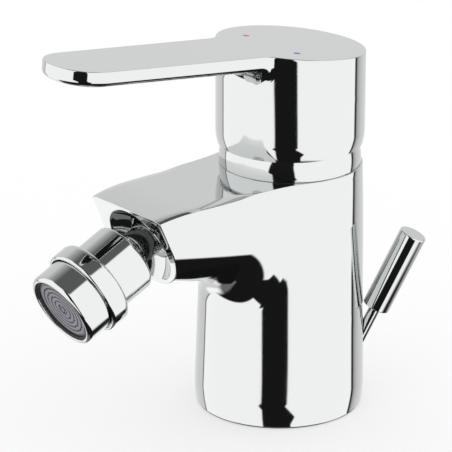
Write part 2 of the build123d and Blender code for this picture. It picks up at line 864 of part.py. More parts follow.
seat_back_r = sqrt(liner_in_r**2 - (seat_back_out - ball_out) ** 2)
seat_lip_out = ball_out + sqrt(liner_in_r**2 - seat_bore_r**2)
seat_mid_angle = degrees(
    (asin(seat_back_r / liner_in_r) + asin(seat_bore_r / liner_in_r)) / 2
)
with BuildPart() as seat:
    with BuildSketch(spray_side):
        with BuildLine():
            ThreePointArc(
                (seat_back_r, seat_back_out),
                on_ball(liner_in_r, seat_mid_angle),
                (seat_bore_r, seat_lip_out),
            )
            Polyline(
                (seat_bore_r, seat_lip_out),
                (seat_bore_r, seat_front_out),
                (liner_out_r, seat_front_out),
                (liner_out_r, seat_back_out),
                (seat_back_r, seat_back_out),
            )
        make_face()
    revolve(axis=spray_axis)
finish("front_seat_ring", seat)

sleeve_mouth_r = sqrt(seat_r**2 - (ball_out - sleeve_out) ** 2)
sleeve_mid_angle = (90 + 180 - degrees(asin(sleeve_mouth_r / seat_r))) / 2
with BuildPart() as sleeve:
    with BuildSketch(spray_side):
        with BuildLine():
            ThreePointArc(
                (seat_r, ball_out),
                on_ball(seat_r, sleeve_mid_angle),
                (sleeve_mouth_r, sleeve_out),
            )
            Polyline(
                (sleeve_mouth_r, sleeve_out),
                (sleeve_r, sleeve_out),
                (sleeve_r, ring_out),
                (ring_r, ring_out),
                (ring_r, ring_end_out),
                (ring_bore_r + ring_bevel, ring_end_out),
                (ring_bore_r, ring_end_out - ring_bevel),
                (ring_bore_r, housing_step_out),
                (housing_thread_r, housing_step_out),
                (housing_thread_r, housing_thread_out),
                (seat_r, housing_thread_out),
                (seat_r, ball_out),
            )
        make_face()
    revolve(axis=spray_axis)
    fillet(spray_rim(sleeve, sleeve_r, sleeve_out), sleeve_edge_r)
    fillet(spray_rim(sleeve, ring_r, ring_out), ring_back_r)
    fillet(spray_rim(sleeve, ring_r, ring_end_out), ring_edge_r)
finish("swivel_sleeve", sleeve)

with BuildPart() as clamp:
    with BuildSketch(spray_at(clamp_out)):
        Circle(seat_r)
        Circle(clamp_bore_r, mode=Mode.SUBTRACT)
    extrude(amount=clamp_t)
    with BuildSketch(spray_at(clamp_out + clamp_t / 2)):
        Rectangle(2 * seat_r, clamp_notch_w)
    extrude(amount=clamp_t, mode=Mode.SUBTRACT)
finish("seat_clamp_ring", clamp)

insert_back_out = insert_out - insert_t
with BuildPart() as housing:
    with BuildSketch(spray_side):
        with BuildLine():
            Polyline(
                (housing_floor_bore_r, housing_thread_out),
                (housing_thread_r, housing_thread_out),
                (housing_thread_r, housing_step_out),
                (housing_r, housing_step_out),
                (housing_r, housing_end_out),
                (housing_bore_r, housing_end_out),
                (housing_bore_r, outlet_seal_out),
                (insert_r, outlet_seal_out),
                (insert_r, housing_floor_out),
                (housing_floor_bore_r, housing_floor_out),
                close=True,
            )
        make_face()
    revolve(axis=spray_axis)
    fillet(spray_rim(housing, housing_r, housing_end_out), housing_lip_r)
finish("aerator_housing", housing)

finish(
    "outlet_seal",
    along_spray(
        (
            (insert_r, outlet_seal_out),
            (housing_bore_r, outlet_seal_out),
            (housing_bore_r, outlet_seal_out + outlet_seal_t),
            (insert_r, outlet_seal_out + outlet_seal_t),
        )
    ),
)

with BuildPart() as insert:
    with BuildSketch(spray_at(insert_back_out)):
        Circle(insert_r)
        for share, count in zip(slot_ring_shares, slot_counts):
            with PolarLocations(insert_r * share, count):
                Rectangle(slot_len, slot_w, mode=Mode.SUBTRACT)
    extrude(amount=insert_t)
finish("jet_insert", insert)

# the cup under the insert: water goes through its floor and spreads in the cone
finish(
    "aerator_core",
    along_spray(
        (
            (core_way_r, housing_floor_out),
            (insert_r, housing_floor_out),
            (insert_r, insert_back_out),
            (insert_r - core_wall, insert_back_out),
            (core_way_r, housing_floor_out + core_floor_t),
        )
    ),
)

# Pull rod for the waste, and its knob
with BuildPart() as rod:
    with BuildSketch(rod_at(rod_foot_out)):
        Circle(rod_r)
    extrude(amount=knob_out + knob_socket_len - rod_foot_out)
finish("lift_rod", rod)

with BuildPart() as knob:
    with BuildSketch(rod_at(knob_out)):
        Circle(knob_r)
    extrude(amount=knob_len)
    fillet(knob.edges().filter_by(GeomType.CIRCLE), knob_edge_r)
    with BuildSketch(rod_at(knob_out)):
        Circle(rod_r)
    extrude(amount=knob_socket_len, mode=Mode.SUBTRACT)
finish("lift_knob", knob)

for name, piece in pieces.items():
    export_step(piece.part, f"parts/{name}.step")
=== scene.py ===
import json
from math import asin, atan, atan2, cos, hypot, pi, radians, sin, sqrt, tan

import bpy
from bpy.props import FloatProperty, FloatVectorProperty, PointerProperty
from bpy.types import Operator, Panel, PropertyGroup
from mathutils import Matrix, Vector


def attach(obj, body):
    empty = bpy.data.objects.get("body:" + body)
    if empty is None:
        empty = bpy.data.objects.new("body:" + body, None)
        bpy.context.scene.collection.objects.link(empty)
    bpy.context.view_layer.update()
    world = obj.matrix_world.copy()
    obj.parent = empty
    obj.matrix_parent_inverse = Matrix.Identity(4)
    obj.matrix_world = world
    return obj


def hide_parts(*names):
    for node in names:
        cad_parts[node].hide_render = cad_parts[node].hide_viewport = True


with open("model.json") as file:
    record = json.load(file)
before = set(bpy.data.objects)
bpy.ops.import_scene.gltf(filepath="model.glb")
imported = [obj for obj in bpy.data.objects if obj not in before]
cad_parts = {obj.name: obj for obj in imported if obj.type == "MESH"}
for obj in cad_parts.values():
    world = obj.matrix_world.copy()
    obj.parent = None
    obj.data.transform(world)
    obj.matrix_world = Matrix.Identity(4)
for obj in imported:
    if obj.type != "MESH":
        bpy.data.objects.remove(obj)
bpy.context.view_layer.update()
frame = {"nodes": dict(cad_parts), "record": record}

bl_info = {
    "name": "Bidet Mixer",
    "version": (1, 0, 0),
    "blender": (4, 5, 0),
    "location": "3D View > Sidebar > Mixer",
    "description": "Dresses a packed single-lever bidet mixer in polished chrome",
    "category": "Object",
}

MM = 0.001
nodes = frame["nodes"]
finishes = {}  # the materials made here, by name
doubles = 2e-6  # points this near to each other are one, in metres
tiny = 1e-5  # the step in metres over which a slope is measured


def length(name, description, default):
    """A size in metres, given in millimetres."""
    return FloatProperty(
        name=name, description=description, default=default * MM, unit="LENGTH", precision=5
    )


def angle(name, description, default):
    """An angle, given in degrees."""
    return FloatProperty(name=name, description=description, default=radians(default), subtype="ANGLE")


def number(name, description, default):
    """A slope, a share or a brightness."""
    return FloatProperty(name=name, description=description, default=default)


def colour(name, description, default):
    return FloatVectorProperty(
        name=name, description=description, default=default, size=3, subtype="COLOR", min=0, max=1
    )


class MixerBodySizes(PropertyGroup):
    """Sizes of the one-piece body: a tapered pedestal with a D-section spout."""

    height: length("Height", "From the deck to the flat top", 76.0)
    foot_radius: length("Foot radius", "Of the pedestal at the deck", 26.0)
    waist_height: length("Waist height", "Where the taper ends and the shoulder starts", 44.0)
    waist_radius: length("Waist radius", "Of the pedestal at the waist", 24.85)
    waist_shift: length("Waist shift", "How far the waist's centre stands back", 0.6)
    shoulder_radius: length("Shoulder radius", "Of the pedestal at its top", 21.9)
    handle_y: length("Handle axis", "How far the handle's axis stands back", 3.8)
    foot_edge: length("Foot edge", "Width of the chamfer at the deck", 0.5)
    spout_half_width: length("Spout half width", "At mid length", 17.35)
    flare_start: length("Flare start", "Behind this the spout's sides flare", -25.6)
    flare_radius: length("Flare radius", "Of the flaring sides", 90.0)
    taper_start: length("Taper start", "Ahead of this the sides draw in", -34.2)
    taper_radius: length("Taper radius", "Of the sides towards the tip", 207.0)
    underside_height: length("Underside height", "Of the spout's round lower half", 15.0)
    tip_y: length("Tip", "Where the flat top ends", -59.0)
    tip_floor: length("Tip floor", "Height of the underside at the tip", 51.5)
    floor_fall: number("Floor fall", "Slope of the underside towards the pedestal", 0.1686)
    round_start: length("Round start", "Where the flat top starts to fall to the tip", -46.2)
    round_radius: length("Round radius", "Of the top towards the tip", 61.0)
    face_tilt: angle("Face tilt", "Of the front face", 23.5)
    under_blend: length("Under blend", "Radius between the underside and the pedestal", 11.0)
    side_blend: length("Side blend", "Radius between the spout's sides and the pedestal", 24.0)
    edge: length("Edge", "Radius of the crisp outer edges", 0.25)
    dish_edge: length("Dish edge", "Radius of the dish's rim", 0.35)
    foot_ease_height: length("Foot ease height", "Below this the pedestal curves in to the deck", 8.0)
    foot_ease: length("Foot ease", "How far the pedestal curves in at the deck", 0.7)
    shoulder_width: length("Shoulder width", "Of the soft roll along the top's side edges", 3.6)
    shoulder_bend: length("Shoulder bend", "Radius of that roll", 12.0)
    shoulder_end: length("Shoulder end", "Behind this the top is flat to its edge", -20.0)
    shoulder_fade: length("Shoulder fade", "Length over which the roll dies out", 12.0)


class MixerHandleSizes(PropertyGroup):
    """Sizes of the round cap and the thin lever that is level with its sloping top."""

    axis_y: length("Axis", "How far the axis stands back", 3.8)
    cap_radius: length("Cap radius", "Of the round cap", 22.4)
    cap_bottom: length("Cap bottom", "Height of the cap's lower rim", 82.4)
    cap_foot: length("Cap foot", "Height of the curved foot of the cap", 4.6)
    mouth_radius: length("Mouth radius", "Of the opening below", 20.976)
    mouth_lip: length("Mouth lip", "Width of the flat rim round the mouth", 0.87)
    top_height: length("Top height", "Of the sloping top on the axis", 112.7)
    top_slope: number("Top slope", "Rise towards the lever's tip", 0.1187)
    blade_root: length("Lever root", "Half the lever's width at the axis", 12.6)
    blade_tip: length("Lever tip", "Half the lever's width at its tip", 12.1)
    blade_length: length("Lever length", "From the axis, along the top", 88.5)
    blade_thickness: length("Lever thickness", "Of the lever", 4.7)
    blade_edge: length("Lever edge", "Radius of its lower edge", 2.0)
    blade_corner: length("Lever corner", "Radius of the tip's corners, in plan", 11.0)
    blade_blend: length("Lever blend", "Radius between the lever and the cap", 6.0)
    plug_height: length("Plug height", "Of the screw's plug in the back", 96.5)
    edge: length("Edge", "Radius of the top's edge", 0.3)


class MixerStage(PropertyGroup):
    """Camera and studio."""

    azimuth: angle("Azimuth", "Of the camera, from the front", 50.2924)
    elevation: angle("Elevation", "Of the camera", 20.1479)
    roll: angle("Roll", "Of the camera", 0.083)
    distance: length("Distance", "From the camera to its target", 988.1319)
    target_side: length("Target side", "Of the view's middle from the handle's axis", -19.116)
    target_back: length("Target back", "How far that axis stands back", 3.77)
    target_height: length("Target height", "Of the view's middle", 54.7142)
    view_width: number("View width", "Focal length over the picture's width", 3264.6301 / 452)
    floor_size: length("Floor size", "Side of the floor", 6000.0)
    floor_glow: number("Floor glow", "Share of the floor that stays pale in shadow", 0.5)
    white: number("White", "Of the studio's white walls", 1.37)
    black: number("Black", "Of the dark strip in front and the dark below", 0.012)
    ceiling: number("Ceiling", "Of the dim ceiling", 0.14)
    far_floor: number("Far floor", "Of the dim room at the lower left", 0.2)
    strip_blur: angle("Strip blur", "Of the black strip's edges", 2.0)


class MixerFinish(PropertyGroup):
    """Colours of the finishes."""

    chrome: colour("Chrome", "Polished plating", (0.625, 0.637, 0.636))
    brass: colour("Brass", "Bare brass inside", (0.60, 0.42, 0.17))
    steel: colour("Steel", "Turned steel", (0.52, 0.52, 0.53))
    # Rubber also blackens the jet insert's slot floors, where it is painted shade
    rubber: colour("Rubber", "Seals", (0.025, 0.025, 0.026))
    ceramic: colour("Ceramic", "Control discs", (0.86, 0.85, 0.80))
    white_plastic: colour("White plastic", "Cartridge and liners", (0.78, 0.78, 0.76))
    insert_plastic: colour("Insert plastic", "Jet insert", (0.2, 0.19, 0.225))
    plug_plastic: colour("Plug plastic", "Screw plug", (0.35, 0.36, 0.37))
    hot: colour("Hot", "Hot mark", (0.70, 0.02, 0.02))
    cold: colour("Cold", "Cold mark", (0.01, 0.10, 0.60))


# Mesh helpers


def choose(piece):
    """Makes a piece the active one and the only one selected."""
    bpy.ops.object.select_all(action="DESELECT")
    piece.select_set(True)
    bpy.context.view_layer.objects.active = piece


def new_object(name, points, edges, faces):
    """An object at the origin from points and faces, alone in the selection."""
    mesh = bpy.data.meshes.new(name)
    mesh.from_pydata([tuple(p) for p in points], edges, faces)
    mesh.update()
    piece = bpy.data.objects.new(name, mesh)
    bpy.context.scene.collection.objects.link(piece)
    choose(piece)
    return piece


def tidy(piece):
    """Merges doubles and turns the faces outwards."""
    choose(piece)
    bpy.ops.object.mode_set(mode="EDIT")
    bpy.ops.mesh.select_all(action="SELECT")
    bpy.ops.mesh.remove_doubles(threshold=doubles)
    bpy.ops.mesh.normals_make_consistent(inside=False)
    bpy.ops.object.mode_set(mode="OBJECT")


def add_modifier(piece, kind, **settings):
    """A modifier named after its kind, with its settings."""
    modifier = piece.modifiers.new(kind.lower(), kind)
    for name, value in settings.items():
        setattr(modifier, name, value)
    return modifier


def modify(piece, kind, **settings):
    """Shapes a piece by a modifier that is applied at once."""
    choose(piece)
    bpy.ops.object.modifier_apply(modifier=add_modifier(piece, kind, **settings).name)


def cut_away(piece, cutter):
    """Takes a cutter's shape out of a piece, and the cutter out of the scene."""
    modify(piece, "BOOLEAN", object=cutter, operation="DIFFERENCE", solver="EXACT")
    bpy.data.objects.remove(cutter)


def weigh_normals(piece, crisp=radians(35)):
    """Smooth shading in which flat faces stay flat and edges over an angle stay crisp."""
    choose(piece)
    bpy.ops.object.shade_smooth_by_angle(angle=crisp)
    modify(piece, "WEIGHTED_NORMAL", keep_sharp=True)


def dress(piece, body, slot, stands_for):
    """Gives a piece its material and its body, and hides the CAD node that it stands for."""
    piece.data.materials.clear()
    piece.data.materials.append(finishes[slot])
    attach(piece, body)
    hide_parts(stands_for)


# Outlines and round pieces


def ball_outline(middle, radius, start, end, count):
    """Points of a ball's outline from one height to another, with its middle on the axis."""
    first, last = asin((start - middle) / radius), asin((end - middle) / radius)
    turns = [first + (last - first) * k / count for k in range(count + 1)]
    return [(radius * cos(turn), middle + radius * sin(turn)) for turn in turns]


def bent(start, corner, end, steps):
    """Points of a curve that leaves one leg of a corner and joins the other."""
    points = []
    for step in range(steps + 1):
        s = step / steps
        points.append(start * (1 - s) ** 2 + corner * 2 * s * (1 - s) + end * s**2)
    return points


def eased_line(line, reaches, steps):
    """A line whose corners, given by their numbers, are rounded."""
    most = 0.98  # of a leg that a round may take up
    result = []
    for k, corner in enumerate(line):
        if k not in reaches:
            result.append(corner)
            continue
        before, after = line[k - 1] - corner, line[k + 1] - corner
        start = corner + before.normalized() * min(reaches[k], before.length * most)
        end = corner + after.normalized() * min(reaches[k], after.length * most)
        result += bent(start, corner, end, steps)
    return result


def eased(outline, radius, own):
    """An open outline whose sharp corners are rounded, some by a radius of their own."""
    sharp = radians(20)
    own_share, plain_share = 0.8, 0.45  # of the shorter leg that a round may take up
    line = [Vector(point) for point in outline]
    reaches = {}
    for k in range(1, len(line) - 1):
        before, after = line[k - 1] - line[k], line[k + 1] - line[k]
        bend = pi - before.angle(after)
        if bend >= sharp:
            most = (own_share if k in own else plain_share) * min(before.length, after.length)
            reaches[k] = min(own.get(k, radius) * tan(bend / 2), most)
    return eased_line(line, reaches, 5)


def frame_at(place, *axes):
    """The matrix that moves a piece to a place, with its X, Y and Z along three axes."""
    return Matrix.Translation(place) @ Matrix(axes).transposed().to_4x4()


def spun(name, outline, place, steps):
    """A closed outline of radii and heights in millimetres, spun about its own Z."""
    points = [(r * MM, 0, h * MM) for r, h in outline]
    count = len(points)
    edges = [(k, (k + 1) % count) for k in range(count) if outline[k][0] or outline[(k + 1) % count][0]]
    piece = new_object(name, points, edges, [])
    bpy.ops.object.mode_set(mode="EDIT")
    bpy.ops.mesh.select_all(action="SELECT")
    bpy.ops.mesh.spin(steps=steps, angle=2 * pi, center=(0, 0, 0), axis=(0, 0, 1))
    bpy.ops.object.mode_set(mode="OBJECT")
    tidy(piece)
    piece.data.transform(place)
    return piece


def turn_piece(name, outline, place, steps, body, slot, stands_for, crisp=radians(40)):
    """Makes a round piece, finishes it and puts it in place of its CAD node."""
    piece = spun(name, outline, place, steps)
    weigh_normals(piece, crisp)
    dress(piece, body, slot, stands_for)


def round_cutter(name, radius, start, end, place):
    """A plain round cutter along a line, in millimetres."""
    return spun(name, [(0, start), (radius, start), (radius, end), (0, end)], place, 48)


# Surfaces, in metres


class Surface:
    """A surface of a piece, worked out from the piece's sizes."""

    def __init__(self, size):
        self.size = size


class Pedestal(Surface):
    """The round, tapered part of the body that the spout grows from."""

    shoulder_start = 0.2  # how fast the shoulder draws in at the waist

    def ring(self, z):
        """Radius and centre of the round section at a height."""
        size = self.size
        if z <= size.waist_height:
            share = z / size.waist_height
            radius = size.foot_radius + (size.waist_radius - size.foot_radius) * share
            if z < size.foot_ease_height:
                radius -= size.foot_ease * (1 - z / size.foot_ease_height) ** 2
            return radius, size.waist_shift * share
        share = (z - size.waist_height) / (size.height - size.waist_height)
        ease = share * (self.shoulder_start + (1 - self.shoulder_start) * share)
        return (
            size.waist_radius + (size.shoulder_radius - size.waist_radius) * ease,
            size.waist_shift + (size.handle_y - size.waist_shift) * ease,
        )

    def point(self, turn, z):
        radius, middle = self.ring(z)
        return Vector((radius * sin(turn), middle - radius * cos(turn), z))

    def off(self, p):
        """How far a point stands off the surface, and the direction away from it."""
        radius, middle = self.ring(p.z)
        radius_up, middle_up = self.ring(p.z + tiny)
        across = hypot(p.x, p.y - middle)
        lean = -((p.y - middle) / across * (middle_up - middle) + radius_up - radius) / tiny
        away = Vector((p.x / across, (p.y - middle) / across, lean))
        return (across - radius) / away.length, away.normalized()

    def locate(self, p):
        """Turn and height of a point of the surface."""
        return atan2(p.x, self.ring(p.z)[1] - p.y), p.z


class Spout(Surface):
    """The right half of the spout: t runs from its top edge to the underside's middle."""

    side_share = 0.38  # of t lies on the straight side
    near, far = -0.003, -0.052  # the junction's ball rests on the spout between these

    def half_width(self, y):
        size = self.size
        if y > size.flare_start:
            reach = size.flare_radius
            return size.spout_half_width + reach - sqrt(reach**2 - (y - size.flare_start) ** 2)
        if y < size.taper_start:
            reach = size.taper_radius
            return size.spout_half_width + sqrt(reach**2 - (size.taper_start - y) ** 2) - reach
        return size.spout_half_width

    def side_foot(self, y):
        """Height where the straight side turns into the round underside."""
        size = self.size
        return size.tip_floor - size.floor_fall * (y - size.tip_y) + size.underside_height

    def flat_top(self, y):
        """Height of the top along the spout's middle, which falls along an arc to the tip."""
        size = self.size
        if y > size.round_start:
            return size.height
        reach = size.round_radius
        return size.height - reach + sqrt(reach**2 - (y - size.round_start) ** 2)

    def shoulder(self, y):
        """Width of the soft shoulder along the top's side edges, which dies out at the neck."""
        size = self.size
        share = min(1, max(0, (size.shoulder_end - y) / size.shoulder_fade))
        return size.shoulder_width * share * share * (3 - 2 * share)

    def edge_height(self, y):
        """Height of the side's upper rim, below the small round of the top's edge."""
        return self.flat_top(y) - self.shoulder(y) ** 2 / (2 * self.size.shoulder_bend) - self.size.edge

    def turn(self, t):
        """How far round the underside a row lies, from the foot of the straight side."""
        return max(0, (t - self.side_share) / (1 - self.side_share)) * pi / 2

    def point(self, t, y):
        w, foot = self.half_width(y), self.side_foot(y)
        if t <= self.side_share:
            top = self.edge_height(y)
            return Vector((w, y, top + (foot - top) * t / self.side_share))
        turn = self.turn(t)
        return Vector((w * cos(turn), y, foot - self.size.underside_height * sin(turn)))

    def normal(self, t, p):
        w, foot = self.half_width(p.y), self.side_foot(p.y)
        w_rate = (self.half_width(p.y + tiny) - w) / tiny
        if t <= self.side_share:
            return Vector((1, -w_rate, 0)).normalized()
        low = (p.z - foot) / self.size.underside_height**2
        slope = -(p.x**2) * w_rate / w**3 + low * self.size.floor_fall
        return Vector((p.x / w**2, slope, low)).normalized()

    def blend(self, t):
        """The junction's radius, wide at the spout's sides and tight below."""
        size = self.size
        return size.under_blend + (size.side_blend - size.under_blend) * cos(self.turn(t)) ** 2

    def above_top(self, p):
        return p.z - self.edge_height(p.y)


class Cap(Surface):
    """The side of the handle's round cap, above its curved foot."""

    def __init__(self, size):
        super().__init__(size)
        self.low = size.cap_bottom + size.cap_foot

    def top_height(self, turn):
        """Height of the side's upper rim, below the small round of the top's edge."""
        size = self.size
        return size.top_height - size.edge + size.top_slope * size.cap_radius * cos(turn)

    def point(self, turn, share):
        """A point of the side, by turn from the front and share of the way up to the top."""
        size = self.size
        x, y = size.cap_radius * sin(turn), size.axis_y - size.cap_radius * cos(turn)
        return Vector((x, y, self.low + (self.top_height(turn) - self.low) * share))

    def off(self, p):
        """How far a point stands off the side, and the direction away from it."""
        across = Vector((p.x, p.y - self.size.axis_y, 0))
        return across.length - self.size.cap_radius, across.normalized()

    def locate(self, p):
        """Turn of a point of the side, and its share of the way up."""
        turn = atan2(p.x, self.size.axis_y - p.y)
        return turn, (p.z - self.low) / (self.top_height(turn) - self.low)


class Blade(Surface):
    """The right half of the lever: t runs from its top edge to the underside's middle."""

    side_share = 0.3  # of t lies on the straight side
    round_share = 0.7  # and from there to here on the round lower edge
    near, far = -0.006, -0.045  # the junction's ball rests on the lever between these

    def __init__(self, size):
        super().__init__(size)
        lean = atan(size.top_slope)
        self.up = Vector((0, sin(lean), cos(lean)))
        self.back = Vector((0, cos(lean), -sin(lean)))
        self.origin = Vector((0, size.axis_y, size.top_height))

    def place(self, x, y, z):
        return self.origin + Vector((x, 0, 0)) + self.back * y + self.up * z

    def half_width(self, y):
        size = self.size
        return size.blade_root + (size.blade_root - size.blade_tip) * y / size.blade_length

    def turn(self, t):
        """How far round the lower edge a row lies."""
        return min(1, (t - self.side_share) / (self.round_share - self.side_share)) * pi / 2

    def inset(self, t):
        """How far a row lies inside the outline and below the top."""
        size = self.size
        straight = size.blade_thickness - size.blade_edge
        if t <= self.side_share:
            return 0, size.edge + (straight - size.edge) * t / self.side_share
        turn = self.turn(t)
        return size.blade_edge * (1 - cos(turn)), straight + size.blade_edge * sin(turn)

    def point(self, t, y):
        inset, drop = self.inset(t)
        x = self.half_width(y) - inset
        if t > self.round_share:
            x *= (1 - t) / (1 - self.round_share)
        return self.place(x, y, -drop)

    def normal(self, t, p):
        size = self.size
        side = Vector((1, 0, 0)) - self.back * (size.blade_root - size.blade_tip) / size.blade_length
        side.normalize()
        if t <= self.side_share:
            return side
        turn = self.turn(t)
        return side * cos(turn) - self.up * sin(turn)

    def blend(self, t):
        return self.size.blade_blend

    def above_top(self, p):
        return (p - self.origin).dot(self.up) + self.size.edge

    def outline(self, t, start_y, along, corner_steps):
        """A row from the junction round the tip's corner to the middle line."""
        inset, drop = self.inset(t)
        corner = self.size.blade_corner
        end_y = -(self.size.blade_length - corner)
        line = []
        for k in range(along):
            y = start_y + (end_y - start_y) * k / along
            line.append(self.place(self.half_width(y) - inset, y, -drop))
        middle_x = self.half_width(end_y) - corner
        reach = corner - inset
        for k in range(corner_steps + 1):
            turn = pi / 2 * k / corner_steps
            line.append(self.place(middle_x + reach * cos(turn), end_y - reach * sin(turn), -drop))
        line.append(self.place(0, end_y - corner + inset, -drop))
        return line


def halved(low, high, steps, short):
    """Halves a range, again and again, down to the place where it stops being short."""
    for _ in range(steps):
        middle = (low + high) / 2
        if short(middle):
            low = middle
        else:
            high = middle
    return middle


def swung(first, last, bend, s):
    """An arm a share of the way round from one arm to another, which are an angle apart."""
    return (first * sin((1 - s) * bend) + last * sin(s * bend)) / sin(bend)


class Junction:
    """A ball rolled along the corner between an arm and the round piece that it grows from."""

    past_top = -0.5  # a row of the arm that would lie well above its top
    trim_share = 0.8  # of the side's rows are moved, and of these so many may be cut off

    def __init__(self, arm, post):
        self.arm, self.post = arm, post

    def ball(self, t, y):
        """A ball on the arm: where it touches, its centre, and how far that is off the post."""
        touch = self.arm.point(t, y)
        centre = touch + self.arm.blend(t) * self.arm.normal(t, touch)
        return touch, centre, *self.post.off(centre)

    def point(self, t, s):
        """A point of the junction, from the arm at s = 0 to the post at s = 1."""
        radius = self.arm.blend(t)
        y = halved(self.arm.near, self.arm.far, 42, lambda y: self.ball(t, y)[2] <= radius)
        touch, centre, off, away = self.ball(t, y)
        foot = self.post.point(*self.post.locate(centre - away * off))
        first, last = touch - centre, foot - centre
        mix = swung(first.normalized(), last.normalized(), first.angle(last), s)
        return centre + mix * (first.length * (1 - s) + last.length * s)

    def strip(self, rows, steps):
        """Rows of points over the junction, trimmed column by column at the arm's top."""
        trimmed = self.arm.side_share * self.trim_share
        above = [lambda t, s=k / steps: self.arm.above_top(self.point(t, s)) > 0 for k in range(steps + 1)]
        starts = [halved(self.past_top, trimmed * self.trim_share, 30, test) for test in above]
        lines = []
        for t in rows:
            shifted = [t if t > trimmed else start + (trimmed - start) * t / trimmed for start in starts]
            lines.append([self.point(row, k / steps) for k, row in enumerate(shifted)])
        return lines


def inward_of(edge, k, up):
    """The level direction from an outline's point towards the inside."""
    flip = Vector((-1, 1, 1))
    before = edge[k - 1] if k else (edge[0] if edge[0].x > tiny else edge[1] * flip)
    after = edge[k + 1] if k + 1 < len(edge) else edge[k - 1] * flip
    along = after - before
    return up.cross(along - up * along.dot(up)).normalized()


def crown_line(p, inward, up, reach):
    """The small round between a side's upper rim and the top."""
    steps = 4
    line = []
    for k in range(steps + 1):
        turn = pi / 2 * k / steps
        line.append(p + inward * reach * (1 - cos(turn)) + up * reach * sin(turn))
    return line


class Skin:
    """Collects grids of points and faces for one mesh."""

    gather = 0.9  # below 1 the fan's rows stand closer towards the lower rim

    def __init__(self):
        self.points, self.faces = [], []

    def grid(self, lines):
        start, width = len(self.points), len(lines[0])
        for line in lines:
            self.points.extend(line)
        for j in range(len(lines) - 1):
            for k in range(width - 1):
                a = start + j * width + k
                self.faces.append((a, a + 1, a + width + 1, a + width))

    def face(self, line):
        start = len(self.points)
        self.points.extend(line)
        self.faces.append(tuple(range(start, start + len(line))))

    def fan(self, post, strip, back_start, back_end, rim_ratio, steps):
        """Covers the round piece from the junction's foot to its back seam and lower rim.

        Returns the rows and the rim; back_start and back_end are heights as the piece measures
        them, and rim_ratio is half the rim's length over the seam's."""
        rows, reached = [], 0
        for j, line in enumerate(strip):
            turn, height = post.locate(line[-1])
            if j == 0:
                height = back_start
            before, reached = reached, (1 + rim_ratio) * (j / (len(strip) - 1)) ** self.gather
            if reached < 1:
                end_turn, end_height = pi, back_start + (back_end - back_start) * reached
            else:
                end_turn, end_height = pi * (1 - (reached - 1) / rim_ratio), back_end
            row = [
                post.point(turn + (end_turn - turn) * k / steps, height + (end_height - height) * k / steps)
                for k in range(steps + 1)
            ]
            row[0] = line[-1]
            if before < 1 <= reached:
                corner = post.point(pi, back_end)
                self.face([rows[-1][-1], corner, row[-1]])
                rim = [corner]
            if reached >= 1:
                rim.append(row[-1])
            rows.append(row)
        self.grid(rows)
        return rows, rim

    def mirrored(self, name):
        """The finished half and its mirror image as one closed piece."""
        piece = new_object(name, self.points, [], self.faces)
        tidy(piece)
        modify(piece, "MIRROR", merge_threshold=doubles)
        tidy(piece)
        return piece


# The line of the ball, the sleeve and the aerator, which starts in the spout's face
spray_tilt = radians(25.2)
spray_dir = Vector((0, -cos(spray_tilt), -sin(spray_tilt)))
spray_face = Vector((0, -53.7, 62.4)) * MM
spray_side = Vector((1, 0, 0))
spray_place = frame_at(spray_face, spray_side, spray_dir.cross(spray_side), spray_dir)
ball_out = 9.5 * MM  # of the ball's centre
dish_radius = hypot(12.5, 9.5) * MM
flange_radius = 7.8 * MM
flange_depth = 2.6 * MM  # of its pocket, behind the dish
pocket_out = ball_out - dish_radius - flange_depth

# The pull rod's line, which leans back from the deck
rod_turn, rod_tilt = radians(45), radians(24.5)
axis_back = 3.8  # how far the cartridge's axis stands behind the foot's middle
rod_reach = 13.1  # from that axis, at the deck
rod_dir = Vector((sin(rod_tilt) * sin(rod_turn), sin(rod_tilt) * cos(rod_turn), cos(rod_tilt)))
rod_deck = Vector((rod_reach * sin(rod_turn), axis_back + rod_reach * cos(rod_turn), 0)) * MM
rod_side = Vector((cos(rod_turn), -sin(rod_turn), 0))
rod_place = frame_at(rod_deck, rod_side, rod_dir.cross(rod_side), rod_dir)

# Sizes that more than one round piece has, in millimetres
rod_radius, rod_end, knob_foot = 1.75, 44.7, 32.7
seat_radius = 9.85
thread_radius, thread_start = 11.3, 18.2
ring_floor = 21.6
insert_radius = 9.7
collar_bottom = 76.0


def upright(x, y, z=0):
    """A place on a line that stands upright, in millimetres."""
    return Matrix.Translation((x * MM, y * MM, z * MM))


def rearward(size):
    """The line through the screw's plug, from the handle's axis to the back."""
    return Matrix.Translation((0, size.axis_y, size.plug_height)) @ Matrix.Rotation(-pi / 2, 4, "X")


# Operators, one for each piece or group of like pieces


